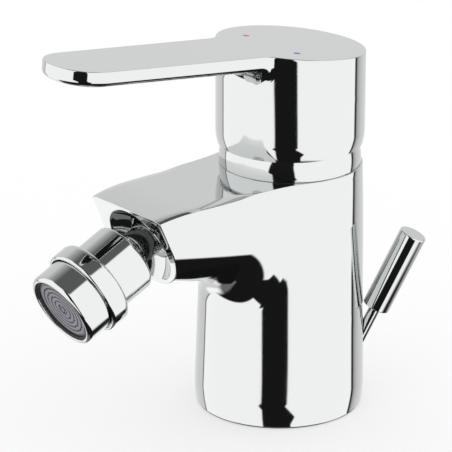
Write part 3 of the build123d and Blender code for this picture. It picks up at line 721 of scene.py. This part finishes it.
class MIXER_OT_body(Operator):
    """Model the chromed body: pedestal, spout, their rolled junction, face and dish"""

    bl_idname = "mixer.body"
    bl_label = "Body"

    # how finely each part of the skin is divided
    rows, along, across = 84, 56, 14
    blend_steps, fan_steps, shoulder_steps, dish_steps = 18, 72, 7, 14
    # the front face's rim is looked for between these, from the tip, in metres
    face_ahead, face_behind = 0.001, 0.018

    def execute(self, context):
        size = context.scene.mixer_body
        spout, pedestal = Spout(size), Pedestal(size)
        skin = Skin()
        rows = [j / self.rows for j in range(self.rows + 1)]
        strip = Junction(spout, pedestal).strip(rows, self.blend_steps)
        skin.grid(strip)

        # The spout, from the junction to its tilted front face
        lean = tan(size.face_tilt)
        tip_top = spout.flat_top(size.tip_y)
        start_y, end_y = size.tip_y - self.face_ahead, size.tip_y + self.face_behind
        side = []
        for t, blend_line in zip(rows, strip):

            def ahead_of_face(y):
                return y - size.tip_y < (tip_top - spout.point(t, y).z) * lean

            root_y = blend_line[0].y
            reach = halved(start_y, end_y, 40, ahead_of_face) + size.edge - root_y
            line = [spout.point(t, root_y + reach * k / self.along) for k in range(self.along + 1)]
            line[0] = blend_line[0]
            side.append(line)
        skin.grid(side)

        ratio = pi * size.foot_radius / size.height
        start = size.height - size.edge
        fan, rim = skin.fan(pedestal, strip, start, size.foot_edge, ratio, self.fan_steps)
        tip = self.add_top(skin, spout, side, strip, fan)
        self.add_foot(skin, pedestal, rim)
        self.add_face(skin, size, tip_top, tip + [(line[-1], line[-2]) for line in side[1:]])
        piece = skin.mirrored("body_shell")
        self.drill(piece)
        weigh_normals(piece)
        dress(piece, "root", "chrome", "body_casting")
        return {"FINISHED"}

    def add_top(self, skin, spout, side, strip, fan):
        """The flat top with its soft shoulders, and the part that falls to the tip.

        Returns the points of the tip's edge, each with the point behind it."""
        size = spout.size
        up = Vector((0, 0, 1))
        edge = side[0][::-1] + strip[0][1:] + fan[0][1:]
        lines = []
        for k, p in enumerate(edge):
            inward = inward_of(edge, k, up)
            line = crown_line(p, inward, up, size.edge)
            crown_z = line[-1].z
            width = spout.shoulder(p.y) if k < len(side[0]) + len(strip[0]) else 0
            for step in range(1, self.shoulder_steps + 1):
                s = step / self.shoulder_steps
                place = p + inward * (size.edge + width * s)
                place.z = crown_z + width**2 * (1 - (1 - s) ** 2) / (2 * size.shoulder_bend)
                line.append(place)
            lines.append(line)
        skin.grid(lines)
        tip = []
        for line, p in zip(lines, edge):
            if p.y < size.round_start:
                x, y, z = line[-1]
                shares = [1 - c / self.across for c in range(self.across + 1)]
                tip.append([Vector((x * share, y, z)) for share in shares])
        skin.grid(tip)
        flat = tip[-1][::-1] + [line[-1] for line in lines[len(tip):]]
        for p in flat[self.across + 1:]:
            p.z = size.height
        skin.face(flat)
        first, second = lines[0] + tip[0][1:], lines[1] + tip[1][1:]
        return list(zip(first, second))[::-1]

    def add_foot(self, skin, pedestal, rim):
        """A small chamfer at the deck, then the flat underside."""
        edge = pedestal.size.foot_edge
        radius, centre = pedestal.ring(edge)
        share = (radius - edge) / radius
        inner = [Vector((p.x * share, centre + (p.y - centre) * share, 0)) for p in rim]
        skin.grid([rim, inner])
        skin.face(inner)

    def add_face(self, skin, size, tip_top, fronts):
        """The tilted front face, the dish in it and the pocket of the ball's flange."""
        on_face = Vector((0, size.tip_y, tip_top))
        normal = Vector((0, -cos(size.face_tilt), -sin(size.face_tilt)))
        ball_centre = spray_face + spray_dir * ball_out
        depth = (ball_centre - on_face).dot(normal)
        rim_centre = ball_centre - normal * depth
        rim_radius = sqrt(dish_radius**2 - depth**2)
        up = Vector((0, spray_dir.z, -spray_dir.y))
        mouth_out = sqrt(dish_radius**2 - flange_radius**2)
        face_shares = (0, 0.3, 0.55, 0.78)  # of the way from the edge to the dish's rim
        # the pocket's side, corner and floor: shares of its depth and of its radius
        pocket_shares = ((0.5, 1), (1, 1), (1, 0.5))
        rim_number = 1 + len(face_shares)
        eases = {1: size.edge, rim_number: size.dish_edge, rim_number + self.dish_steps: size.edge}
        lines = []
        for p, behind in fronts:
            along = (p - behind).normalized()
            corner = p + along * ((on_face - p).dot(normal) / along.dot(normal))
            direction = corner - rim_centre
            direction = (direction - normal * direction.dot(normal)).normalized()
            rim_point = rim_centre + direction * rim_radius
            line = [p] + [corner + (rim_point - corner) * s for s in face_shares]
            around = (Vector((direction.x, 0, 0)) + up * direction.dot(up)).normalized()
            mouth = around * flange_radius - spray_dir * mouth_out
            arm = rim_point - ball_centre
            for k in range(self.dish_steps + 1):
                line.append(ball_centre + swung(arm, mouth, arm.angle(mouth), k / self.dish_steps))
            for out, share in pocket_shares:
                back = mouth_out * (1 - out) + (ball_out - pocket_out) * out
                line.append(ball_centre + around * flange_radius * share - spray_dir * back)
            lines.append(eased_line(line, eases, 3))
        skin.grid(lines)
        skin.face([line[-1] for line in lines])

    def drill(self, piece):
        """The chamber, the ways of the pull rod, the inlets, the stud's hole and the groove."""
        axis = upright(0, axis_back)
        below, above = -2, 78  # a little past the deck and past the top
        inlet_x, inlet_y, inlet_radius, inlet_top = 8, -9, 4.46, 14
        pocket = pocket_out / MM
        # the name, the radius, the start and the end along a line, and that line
        ways = (
            ("chamber", 17.6, 50, above, axis),
            ("nut_mouth", 19.2, 69.2, above, axis),
            ("rod_mouth", 2.15, 10, knob_foot, rod_place),
            ("bush_seat", 3.1, below, 14, rod_place),
            ("stud_hole", 3.35, below, 18, upright(-9, 10)),
            ("hot_inlet", inlet_radius, below, inlet_top, upright(-inlet_x, inlet_y)),
            ("cold_inlet", inlet_radius, below, inlet_top, upright(inlet_x, inlet_y)),
            ("ball_thread", 6.0, pocket - 7, pocket + 0.5, spray_place),
        )
        for name, radius, start, end, place in ways:
            cut_away(piece, round_cutter(name, radius, start, end, place))
        inner, outer, top = 22.4, 25, 1.6
        groove = [(inner, below), (outer, below), (outer, top), (inner, top)]
        cut_away(piece, spun("groove", groove, upright(0, 0), 96))


class MIXER_OT_handle(Operator):
    """Model the handle: a hollow cap with a sloping top and a thin lever"""

    bl_idname = "mixer.handle"
    bl_label = "Handle"

    # how finely each part of the skin is divided
    rows, along, foot_steps = 44, 30, 12
    blend_steps, fan_steps, corner_steps = 12, 80, 28
    # the hollow inside, in metres: a bore, a ledge and the height of the roof over the rim
    bore_height, ledge, roof_height = 0.0036, 0.0012, 0.0205

    def execute(self, context):
        size = context.scene.mixer_handle
        blade, cap = Blade(size), Cap(size)
        skin = Skin()
        rows = [j / self.rows for j in range(self.rows + 1)]
        strip = Junction(blade, cap).strip(rows, self.blend_steps)
        skin.grid(strip)
        height = size.top_height - size.cap_bottom
        fan, rim = skin.fan(cap, strip, 1, 0, pi * size.cap_radius / height, self.fan_steps)

        # The lever's side and its rounded lower edge, run round the tip
        lines = []
        for t, blend_line in zip(rows, strip):
            if t > blade.round_share + tiny:
                break
            start_y = (blend_line[0] - blade.origin).dot(blade.back)
            line = blade.outline(t, start_y, self.along, self.corner_steps)
            line[0] = blend_line[0]
            lines.append(line)
        skin.grid(lines)
        skin.face(lines[-1] + [line[0] for line in reversed(strip[len(lines):])])
        edge = lines[0][::-1] + strip[0][1:] + fan[0][1:]
        crown = []
        for k, p in enumerate(edge):
            line = crown_line(p, inward_of(edge, k, blade.up), blade.up, size.edge)
            line[-1] = line[-1] - blade.up * (line[-1] - blade.origin).dot(blade.up)
            crown.append(line)
        skin.grid(crown)
        skin.face([line[-1] for line in crown])
        self.add_inside(skin, size, rim)
        piece = skin.mirrored("handle_shell")
        plug_bore, plug_way_start, plug_way_end = 3.0, 18, 25
        cut_away(piece, round_cutter("plug_way", plug_bore, plug_way_start, plug_way_end, rearward(size)))
        weigh_normals(piece)
        dress(piece, "lever", "chrome", "handle")
        return {"FINISHED"}

    def add_inside(self, skin, size, rim):
        """The cap's curved foot, its mouth and the hollow inside."""
        profile = []
        inset = size.cap_radius - size.mouth_radius - size.mouth_lip
        bend = (size.cap_foot**2 + inset**2) / (2 * inset)
        for k in range(self.foot_steps + 1):
            drop = size.cap_foot * k / self.foot_steps
            radius = size.cap_radius - bend + sqrt(bend**2 - drop**2)
            profile.append((radius, size.cap_bottom + size.cap_foot - drop))
        mouth, bottom = size.mouth_radius, size.cap_bottom
        bore_top, roof, inner = bottom + self.bore_height, bottom + self.roof_height, mouth - self.ledge
        profile += [(mouth, bottom), (mouth, bore_top), (inner, bore_top), (inner, roof)]
        lines = []
        for radius, z in profile:
            share = radius / size.cap_radius
            lines.append([Vector((p.x * share, size.axis_y + (p.y - size.axis_y) * share, z)) for p in rim])
        skin.grid(lines)
        skin.face(lines[-1])


class MIXER_OT_collar(Operator):
    """Turn the dome collar, with the fine step that draws the seam above the body"""

    bl_idname = "mixer.collar"
    bl_label = "Dome Collar"

    # in millimetres: the dome's radius and the height of its centre, then its edges and its bores
    radius, pivot = 21.4, 77.0
    seam, foot_radius, top = 0.18, 21.2, 87.4
    neck_bore, chamber_bore, ledge = 16.6, 18.45, 83.8

    def execute(self, context):
        outline = [(self.foot_radius, collar_bottom)]
        outline += ball_outline(self.pivot, self.radius, collar_bottom + self.seam, self.top, 40)
        outline += [(self.neck_bore, self.top), (self.neck_bore, self.ledge)]
        outline += [(self.chamber_bore, self.ledge), (self.chamber_bore, collar_bottom)]
        place = upright(0, axis_back)
        turn_piece("dome", outline, place, 160, "root", "chrome", "dome_collar", radians(30))
        return {"FINISHED"}


class MIXER_OT_aerator(Operator):
    """Turn the ball stud, the swivel sleeve, the housing and the jet insert"""

    bl_idname = "mixer.aerator"
    bl_label = "Aerator"

    # in millimetres: radii, and distances out of the spout's face
    ball_radius, ball_end, ball_way, neck, ball_thread = 8.6, 16.2, 3.4, 5.2, 6.0
    thread_length, flange_thickness, flange_edge = 9, 1.8, 0.3
    mouth_out, sleeve_radius, ring_radius, ring_bore = 5.6, 10.9, 13.45, 12.35
    ring_start, ring_end, ring_chamfer, chamfer_depth = 17.2, 23.9, 0.1, 0.3
    housing_radius, lip_radius, cup_bore = 12.0, 10.4, 7.0
    housing_end, ledge_out, cup_floor = 32.3, 30.5, 20.5
    insert_front, insert_back, band_rise, band_gap = 31.3, 28.9, 0.28, 0.04
    rim_drop, slot_depth, slot_margin = 0.3, 1.2, 0.1
    # radii of the insert's bands, and how many slots each odd band holds
    bands = (0.7, 1.9, 2.9, 3.4, 4.4, 4.9, 5.9, 6.4, 7.4, 7.9, 8.9, 9.7)
    slots = {1: 6, 3: 10, 5: 14, 7: 20, 9: 24}
    slot_share, outer_slot_share = 0.5, 0.62  # of their pitch

    def execute(self, context):
        self.turn_ball()
        self.turn_sleeve()
        self.turn_housing()
        self.make_insert()
        return {"FINISHED"}

    def turn_ball(self):
        radius, out, flange = self.ball_radius, ball_out / MM, flange_radius / MM
        floor = (ball_out - dish_radius) / MM
        flange_foot, thread_end = floor - self.flange_thickness, floor - self.thread_length
        join = out - sqrt(radius**2 - self.neck**2)
        outline = [
            (self.ball_way, self.ball_end),
            (self.ball_way, thread_end),
            (self.ball_thread, thread_end),
            (self.ball_thread, flange_foot),
            (flange, flange_foot),
            (flange, floor - self.flange_edge),
            (flange - self.flange_edge, floor),
            (self.neck, floor),
        ] + ball_outline(out, radius, join, self.ball_end, 40)
        turn_piece("ball", outline, spray_place, 96, "root", "chrome", "ball_stud")

    def turn_sleeve(self):
        out = ball_out / MM
        socket = ball_outline(out, seat_radius, out, self.mouth_out, 12)
        corners = [
            socket[-1],
            (self.sleeve_radius, self.mouth_out),
            (self.sleeve_radius, self.ring_start),
            (self.ring_radius, self.ring_start),
            (self.ring_radius, self.ring_end),
            (self.ring_bore + self.ring_chamfer, self.ring_end),
            (self.ring_bore, self.ring_end - self.chamfer_depth),
            (self.ring_bore, ring_floor),
        ]
        outline = socket + eased(corners, 0.8, own={1: 1.3, 2: 0.25, 3: 2.0, 4: 1.0})[1:]
        outline += [(thread_radius, ring_floor), (thread_radius, thread_start), (seat_radius, thread_start)]
        turn_piece("sleeve", outline, spray_place, 160, "aerator", "chrome", "swivel_sleeve")

    def turn_housing(self):
        corners = [
            (self.housing_radius, ring_floor),
            (self.housing_radius, self.housing_end),
            (self.lip_radius, self.housing_end),
            (self.lip_radius, self.ledge_out),
        ]
        outline = [(self.cup_bore, thread_start), (thread_radius, thread_start)]
        outline += [(thread_radius, ring_floor)] + eased(corners, 0.5, own={1: 1.5, 2: 0.4})
        outline += [(insert_radius, self.ledge_out), (insert_radius, self.cup_floor)]
        outline += [(self.cup_bore, self.cup_floor)]
        turn_piece("housing", outline, spray_place, 160, "aerator", "chrome", "aerator_housing")

    def make_insert(self):
        front, back, gap = self.insert_front, self.insert_back, self.band_gap
        outline = [(0, front)]
        inner = 0.0
        for k, outer in enumerate(self.bands):
            band = front - self.band_rise + (0 if k % 2 else self.band_rise)
            outline += [(inner + gap, band), (outer - gap, band)]
            inner = outer
        outline += [(insert_radius, front - self.rim_drop), (insert_radius, back), (0, back)]
        piece = spun("insert", outline, spray_place, 240)
        dress(piece, "aerator", "insert_plastic", "jet_insert")
        # The black rubber finish as a second slot, for painted shade on the slot floors
        piece.data.materials.append(finishes["seal_rubber"])
        self.sink_slots_with_painted_shade(piece)
        weigh_normals(piece, radians(30))

    def sink_slots_with_painted_shade(self, piece):
        """Sinks the slots of each lower band, and blackens their floors with the black rubber finish as
        painted shade in the slots.
        """
        choose(piece)
        tools = bpy.context.tool_settings
        tools.mesh_select_mode = (False, False, True)
        bpy.ops.object.mode_set(mode="EDIT")
        bpy.ops.mesh.select_all(action="DESELECT")
        bpy.ops.object.mode_set(mode="OBJECT")
        to_local = spray_place.inverted()
        lowest = (self.insert_front - 0.5) * MM  # below this a face is the insert's side or back
        outer_band = max(self.slots)
        for face in piece.data.polygons:
            local = to_local @ face.center
            radius = local.xy.length / MM
            turn = atan2(local.y, local.x) / (2 * pi) + 0.5
            for k, count in self.slots.items():
                inside = self.bands[k - 1] + self.slot_margin < radius < self.bands[k] - self.slot_margin
                share = self.outer_slot_share if k == outer_band else self.slot_share
                if inside and local.z > lowest and (turn * count) % 1 < share:
                    face.select = True
        bpy.ops.object.mode_set(mode="EDIT")
        sink = spray_dir * -self.slot_depth * MM
        bpy.ops.mesh.extrude_region_move(TRANSFORM_OT_translate={"value": sink})
        # the sunk slot floors take the black rubber finish: painted shade where the real slots are dark
        # only by depth
        piece.active_material_index = 1
        bpy.ops.object.material_slot_assign()
        bpy.ops.object.mode_set(mode="OBJECT")
        tools.mesh_select_mode = (True, False, False)


class MIXER_OT_pull_rod(Operator):
    """Turn the pull rod of the waste and its knob"""

    bl_idname = "mixer.pull_rod"
    bl_label = "Pull Rod"

    rod_foot, knob_radius, knob_top = 1.6, 4.2, 59.0  # in millimetres

    def execute(self, context):
        corners = [(0, self.rod_foot), (rod_radius, self.rod_foot), (rod_radius, rod_end), (0, rod_end)]
        outline = eased(corners, 0.2, own={})
        turn_piece("rod", outline, rod_place, 64, "pull_rod", "chrome", "lift_rod")
        radius, top = self.knob_radius, self.knob_top
        corners = [(rod_radius, knob_foot), (radius, knob_foot), (radius, top), (0, top)]
        outline = [(rod_radius, rod_end)] + eased(corners, 0.4, own={1: 0.25, 2: 0.45}) + [(0, rod_end)]
        turn_piece("knob", outline, rod_place, 96, "pull_rod", "chrome", "lift_knob")
        return {"FINISHED"}


class MIXER_OT_marks(Operator):
    """Set the hot and cold dots in the handle's top and the plug in its back"""

    bl_idname = "mixer.marks"
    bl_label = "Marks and Plug"

    dot_x, dot_y = 0.0116, -0.0076  # on the sloping top, from the axis, in metres
    # in millimetres: a dot with a slightly domed face, and the plug along its line
    dot = [(0, -0.3), (1.1, -0.3), (1.1, 0.0), (1.02, 0.03), (0.6, 0.05), (0, 0.055)]
    plug_radius, plug_start, plug_end = 2.98, 20.1, 22.1

    def execute(self, context):
        size = context.scene.mixer_handle
        blade = Blade(size)
        marks = (("hot_mark", -1, "hot_red", "hot_dot"), ("cold_mark", 1, "cold_blue", "cold_dot"))
        for name, side, slot, stands_for in marks:
            centre = blade.place(side * self.dot_x, self.dot_y, 0)
            place = frame_at(centre, Vector((1, 0, 0)), blade.back, blade.up)
            turn_piece(name, self.dot, place, 48, "lever", slot, stands_for)
        radius, start, end = self.plug_radius, self.plug_start, self.plug_end
        outline = eased([(0, start), (radius, start), (radius, end), (0, end)], 0.3, own={})
        turn_piece("back_plug", outline, rearward(size), 64, "lever", "plug_plastic", "screw_plug")
        return {"FINISHED"}


# Finishes


class Net:
    """Adds nodes to a tree, with their settings, and with values or links on their inputs."""

    def __init__(self, tree):
        self.tree = tree

    def add(self, kind, inputs=(), **settings):
        node = self.tree.nodes.new(kind)
        for name, value in settings.items():
            setattr(node, name, value)
        self.fill(node, dict(inputs))
        return node

    def fill(self, node, inputs):
        """Gives inputs, by name or number, a value or a link from another node's output."""
        for socket, value in inputs.items():
            if isinstance(value, bpy.types.NodeSocket):
                self.tree.links.new(value, node.inputs[socket])
            else:
                node.inputs[socket].default_value = value

    def effect(self, name, inputs):
        """The output of a shader node group placed in this tree."""
        return self.add("ShaderNodeGroup", inputs, node_tree=bpy.data.node_groups[name]).outputs[0]

    def bump(self, strength, distance, height):
        """A normal that a height pattern bends."""
        inputs = {"Strength": strength, "Distance": distance, "Height": height}
        return self.add("ShaderNodeBump", inputs).outputs["Normal"]

    def object_place(self):
        return self.add("ShaderNodeTexCoord").outputs["Object"]


def material(name):
    """The net of a new node material, and its Principled BSDF."""
    made = bpy.data.materials.new(name)
    made.use_nodes = True
    finishes[name] = made
    return Net(made.node_tree), made.node_tree.nodes["Principled BSDF"]


def effect_group(name, inputs, output, kind):
    """An empty shader node group: its net, its inputs by name and its end."""
    group = bpy.data.node_groups.new(name, "ShaderNodeTree")
    for socket, (socket_kind, default) in inputs.items():
        made = group.interface.new_socket(socket, in_out="INPUT", socket_type="NodeSocket" + socket_kind)
        if default is not None:
            made.default_value = default
    group.interface.new_socket(output, in_out="OUTPUT", socket_type="NodeSocket" + kind)
    net = Net(group)
    return net, net.add("NodeGroupInput").outputs, net.add("NodeGroupOutput")


def make_speckle_group():
    """Fine specks on Object coordinates: a mask that other effects scale."""
    inputs = {"Scale": ("Float", 900.0), "Low": ("Float", 0.0), "High": ("Float", 1.0)}
    net, given, end = effect_group("speckle", inputs, "Value", "Float")
    size = {"Vector": net.object_place(), "Scale": given["Scale"], "Detail": 4}
    noise = net.add("ShaderNodeTexNoise", size).outputs["Fac"]
    span = {"From Min": 0.3, "From Max": 0.7, "To Min": given["Low"], "To Max": given["High"]}
    spread = net.add("ShaderNodeMapRange", {"Value": noise, **span})
    net.fill(end, {"Value": spread.outputs["Result"]})


def make_tint_group():
    """A colour that drifts a little over the surface."""
    grey = (0.5, 0.5, 0.5, 1)
    inputs = {"Colour": ("Color", grey), "Darker": ("Float", 0.9), "Scale": ("Float", 120.0)}
    net, given, end = effect_group("tint", inputs, "Colour", "Color")
    specks = net.effect("speckle", {"Scale": given["Scale"], "Low": given["Darker"], "High": 1.0})
    scaled = net.add("ShaderNodeVectorMath", {0: given["Colour"], "Scale": specks}, operation="SCALE")
    net.fill(end, {"Colour": scaled.outputs["Vector"]})


def make_turning_group():
    """Fine bands left by turning, along the Z of the coordinates that come in."""
    inputs = {"Vector": ("Vector", None), "Pitch": ("Float", 1500.0), "Height": ("Float", 1.0)}
    net, given, end = effect_group("turning_marks", inputs, "Height", "Float")
    size = {"Vector": given["Vector"], "Scale": given["Pitch"], "Distortion": 0.4, "Detail": 1.0}
    waves = net.add("ShaderNodeTexWave", size, wave_type="BANDS", bands_direction="Z").outputs["Fac"]
    scaled = net.add("ShaderNodeMath", {0: waves, 1: given["Height"]}, operation="MULTIPLY")
    net.fill(end, {"Height": scaled.outputs[0]})


def make_metal(name, tint, low, high, tint_depth, marks=0.0):
    """A metal whose polish varies by a trace, with turning marks where it has them."""
    net, shader = material(name)
    drift = net.effect("tint", {"Colour": (*tint, 1), "Darker": tint_depth, "Scale": 60.0})
    haze = net.effect("speckle", {"Scale": 350.0, "Low": low, "High": high})
    net.fill(shader, {"Metallic": 1.0, "Base Color": drift, "Roughness": haze})
    if marks:
        place = net.object_place()
        bands = net.effect("turning_marks", {"Vector": place, "Pitch": 1500.0, "Height": 1.0})
        net.fill(shader, {"Normal": net.bump(marks, 0.0001, bands)})


def make_moulded(name, tint, roughness, grain=0.15):
    """A moulded plastic, rubber or ceramic with a fine grain."""
    net, shader = material(name)
    spread = 0.05  # of the roughness, up and down
    drift = net.effect("tint", {"Colour": (*tint, 1), "Darker": 0.93, "Scale": 400.0})
    haze = net.effect("speckle", {"Scale": 1200.0, "Low": roughness - spread, "High": roughness + spread})
    specks = net.effect("speckle", {"Scale": 2500.0, "Low": 0.0, "High": 1.0})
    normal = net.bump(grain, 0.00005, specks)
    net.fill(shader, {"Base Color": drift, "Roughness": haze, "Normal": normal})


class MIXER_OT_finishes(Operator):
    """Make the finishes and give them to the CAD nodes that stay in view"""

    bl_idname = "mixer.finishes"
    bl_label = "Finishes"

    def execute(self, context):
        look = context.scene.mixer_finish
        make_speckle_group()
        make_tint_group()
        make_turning_group()
        make_metal("chrome", look.chrome, 0.045, 0.06, tint_depth=0.995)
        make_metal("brass", look.brass, 0.22, 0.34, tint_depth=0.9, marks=0.2)
        make_metal("steel", look.steel, 0.2, 0.3, tint_depth=0.95, marks=0.15)
        make_moulded("seal_rubber", look.rubber, 0.62, grain=0.3)
        make_moulded("ceramic", look.ceramic, 0.18, grain=0.02)
        make_moulded("white_plastic", look.white_plastic, 0.42)
        make_moulded("insert_plastic", look.insert_plastic, 0.4)
        make_moulded("plug_plastic", look.plug_plastic, 0.35)
        make_moulded("hot_red", look.hot, 0.25, grain=0.02)
        make_moulded("cold_blue", look.cold, 0.25, grain=0.02)
        slots = {entry["node"]: entry["material_slot"] for entry in frame["record"]["subparts"]}
        for name, node in nodes.items():
            node.data.materials.clear()
            node.data.materials.append(finishes[slots[name]])
            for face in node.data.polygons:
                face.use_smooth = True
            add_modifier(node, "WELD", merge_threshold=doubles)
            add_modifier(node, "EDGE_SPLIT", split_angle=radians(25))
            add_modifier(node, "WEIGHTED_NORMAL", keep_sharp=True)
        return {"FINISHED"}


# Stage


class MIXER_OT_stage(Operator):
    """Set up the floor, the camera and the studio that the chrome mirrors"""

    bl_idname = "mixer.stage"
    bl_label = "Stage"

    floor_drop = 0.0002  # of the floor below the deck's level, in metres

    def execute(self, context):
        view = context.scene.mixer_stage
        level = Vector((sin(view.azimuth), -cos(view.azimuth), 0))
        back = level * cos(view.elevation) + Vector((0, 0, sin(view.elevation)))
        right = Vector((cos(view.azimuth), sin(view.azimuth), 0))
        self.add_camera(context, view, back, right)
        self.add_studio(context, view, level, right)
        self.add_floor(view)
        context.scene.view_settings.view_transform = "Standard"
        cycles = context.scene.cycles
        cycles.max_bounces = 16
        cycles.glossy_bounces = 12
        return {"FINISHED"}

    def add_camera(self, context, view, back, right):
        up = back.cross(right)
        target = view.target_side * right + Vector((0, view.target_back, view.target_height))
        turned_right = cos(view.roll) * right + sin(view.roll) * up
        turned_up = cos(view.roll) * up - sin(view.roll) * right
        lens = bpy.data.cameras.new("camera")
        lens.sensor_width = 36
        lens.lens = view.view_width * lens.sensor_width
        lens.clip_start = 0.01
        camera = bpy.data.objects.new("camera", lens)
        context.scene.collection.objects.link(camera)
        camera.matrix_world = frame_at(target + view.distance * back, turned_right, turned_up, back)
        context.scene.camera = camera

    def add_studio(self, context, view, level, right):
        """A world whose brightness goes by the direction's azimuth from the camera and its height."""
        world = bpy.data.worlds.new("studio")
        context.scene.world = world
        world.use_nodes = True
        world.node_tree.nodes.clear()
        net = Net(world.node_tree)
        direction = net.add("ShaderNodeTexCoord").outputs["Generated"]

        def along(axis):
            node = net.add("ShaderNodeVectorMath", {0: direction, 1: axis}, operation="DOT_PRODUCT")
            return node.outputs["Value"]

        def math(operation, *values, clamped=False):
            inputs = enumerate(values)
            return net.add("ShaderNodeMath", inputs, operation=operation, use_clamp=clamped).outputs[0]

        def grey(value):
            """A brightness as a colour; a link stays as it is."""
            return (value, value, value, 1) if isinstance(value, (int, float)) else value

        def mixed(factor, first, second):
            inputs = {"Factor": factor, 6: grey(first), 7: grey(second)}
            return net.add("ShaderNodeMix", inputs, data_type="RGBA").outputs[2]

        azimuth = math("ARCTAN2", along(right), along(level))
        around = math("MULTIPLY_ADD", azimuth, 1 / (2 * pi), 0.5)
        upward = math("MULTIPLY_ADD", math("ARCSINE", along((0, 0, 1))), 1 / pi, 0.5)

        def at(turned):
            return (turned + 180) / 360

        def ramp(value, stops):
            """A grey ramp from stops of a place from 0 to 1 and a brightness."""
            node = net.add("ShaderNodeValToRGB", {0: value})
            elements = node.color_ramp.elements
            elements.remove(elements[1])
            for k, (place, brightness) in enumerate(stops):
                element = elements.new(place) if k else elements[0]
                element.position = place
                element.color = grey(brightness)
            return node.outputs[0]

        def by_azimuth(*stops):
            return ramp(around, [(at(turned), value) for turned, value in stops])

        def by_height(*stops):
            return ramp(upward, [((raised + 90) / 180, value) for raised, value in stops])

        def strip_edge(*stops):
            """Where the black strip's edge stands, from stops of a height and an azimuth."""
            return by_height(*((raised, at(turned)) for raised, turned in stops))

        white, black, ceiling = view.white, view.black, view.ceiling
        bands = by_azimuth(
            (-180, 0.86), (-129.5, 0.84), (-128, 0.2), (-126.5, 0.2), (-125, white), (115, white),
            (116.5, 0.03), (120.5, 0.03), (122.5, 0.45), (130, 0.7), (140, 0.82), (180, 0.86),
        )
        strip_left = strip_edge(
            (-24, -24), (-20.8, -29), (-19, -24), (-16, -29), (-9, -35.5), (0, -33), (10, -29), (40, -27),
        )
        strip_right = strip_edge(
            (-42, 18), (-36, 17), (-30, 22), (-23, 11), (-20.8, 7.5), (-19, 11), (-16, 7.7),
            (0, 5), (10, 6), (45, 10),
        )
        sharp = 1 / (view.strip_blur / (2 * pi))
        past_left = math("MULTIPLY_ADD", math("SUBTRACT", around, strip_left), sharp, 0.5, clamped=True)
        past_right = math("MULTIPLY_ADD", math("SUBTRACT", strip_right, around), sharp, 0.5, clamped=True)
        near = mixed(math("MULTIPLY", past_left, past_right), bands, black)
        near = mixed(by_height((57, 0), (61, 1)), near, ceiling)
        near = mixed(by_height((-44, 0), (-41, 1)), black, near)
        # behind the mixer the room fades out upwards, and downwards at the left
        far = mixed(by_height((33, 0), (50, 0.5), (70, 1)), bands, ceiling)
        low_wall = math("MULTIPLY", by_azimuth((-148, 0), (-140, 1)), by_height((-36, 1), (-31, 0)))
        far = mixed(low_wall, far, white)
        far = mixed(by_height((-54, 0), (-48, 1)), view.far_floor, far)
        studio = mixed(by_azimuth((-128, 1), (-112, 0), (150, 0), (165, 1)), near, far)
        mirrored = net.add("ShaderNodeBackground", {"Color": studio})
        plain = net.add("ShaderNodeBackground", {"Color": (1, 1, 1, 1)})
        either = self.by_ray(net, plain, mirrored)
        net.add("ShaderNodeOutputWorld", {0: either})

    def by_ray(self, net, plain, mirrored):
        """What the room is, and what the chrome sees of it."""
        glossy = net.add("ShaderNodeLightPath").outputs["Is Glossy Ray"]
        inputs = {0: glossy, 1: plain.outputs[0], 2: mirrored.outputs[0]}
        return net.add("ShaderNodeMixShader", inputs).outputs[0]

    def add_floor(self, view):
        """A plain pale floor that keeps the mixer's shadow and isn't mirrored in it."""
        bpy.ops.object.select_all(action="DESELECT")
        bpy.ops.mesh.primitive_plane_add(size=view.floor_size, location=(0, 0, -self.floor_drop))
        floor = bpy.context.active_object
        floor.name = "floor"
        net, shader = material("floor_white")
        net.tree.nodes.remove(shader)
        matt = net.add("ShaderNodeBsdfDiffuse", {"Color": (1, 1, 1, 1)}).outputs[0]
        glow = net.add("ShaderNodeEmission").outputs[0]
        pale = net.add("ShaderNodeMixShader", {0: view.floor_glow, 1: matt, 2: glow})
        clear = net.add("ShaderNodeBsdfTransparent")
        either = self.by_ray(net, pale, clear)
        net.fill(net.tree.nodes["Material Output"], {"Surface": either})
        floor.data.materials.append(finishes["floor_white"])


operators = (
    MIXER_OT_finishes,
    MIXER_OT_body,
    MIXER_OT_collar,
    MIXER_OT_handle,
    MIXER_OT_marks,
    MIXER_OT_aerator,
    MIXER_OT_pull_rod,
    MIXER_OT_stage,
)
groups = {
    "mixer_body": MixerBodySizes,
    "mixer_handle": MixerHandleSizes,
    "mixer_stage": MixerStage,
    "mixer_finish": MixerFinish,
}


class MIXER_PT_panel(Panel):
    """Lists the mixer's operators and sizes in the sidebar"""

    bl_idname = "MIXER_PT_panel"
    bl_label = "Bidet Mixer"
    bl_space_type = "VIEW_3D"
    bl_region_type = "UI"
    bl_category = "Mixer"

    def draw(self, context):
        for operator in operators:
            self.layout.operator(operator.bl_idname)
        for name, group in groups.items():
            box = self.layout.box()
            for size in group.__annotations__:
                box.prop(getattr(context.scene, name), size)


def register():
    for name, group in groups.items():
        bpy.utils.register_class(group)
        setattr(bpy.types.Scene, name, PointerProperty(type=group))
    for operator in operators:
        bpy.utils.register_class(operator)
    bpy.utils.register_class(MIXER_PT_panel)


def unregister():
    bpy.utils.unregister_class(MIXER_PT_panel)
    for operator in reversed(operators):
        bpy.utils.unregister_class(operator)
    for name, group in groups.items():
        delattr(bpy.types.Scene, name)
        bpy.utils.unregister_class(group)


def main():
    register()
    for operator in operators:
        prefix, name = operator.bl_idname.split(".")
        getattr(getattr(bpy.ops, prefix), name)()


if __name__ == "__main__":
    main()
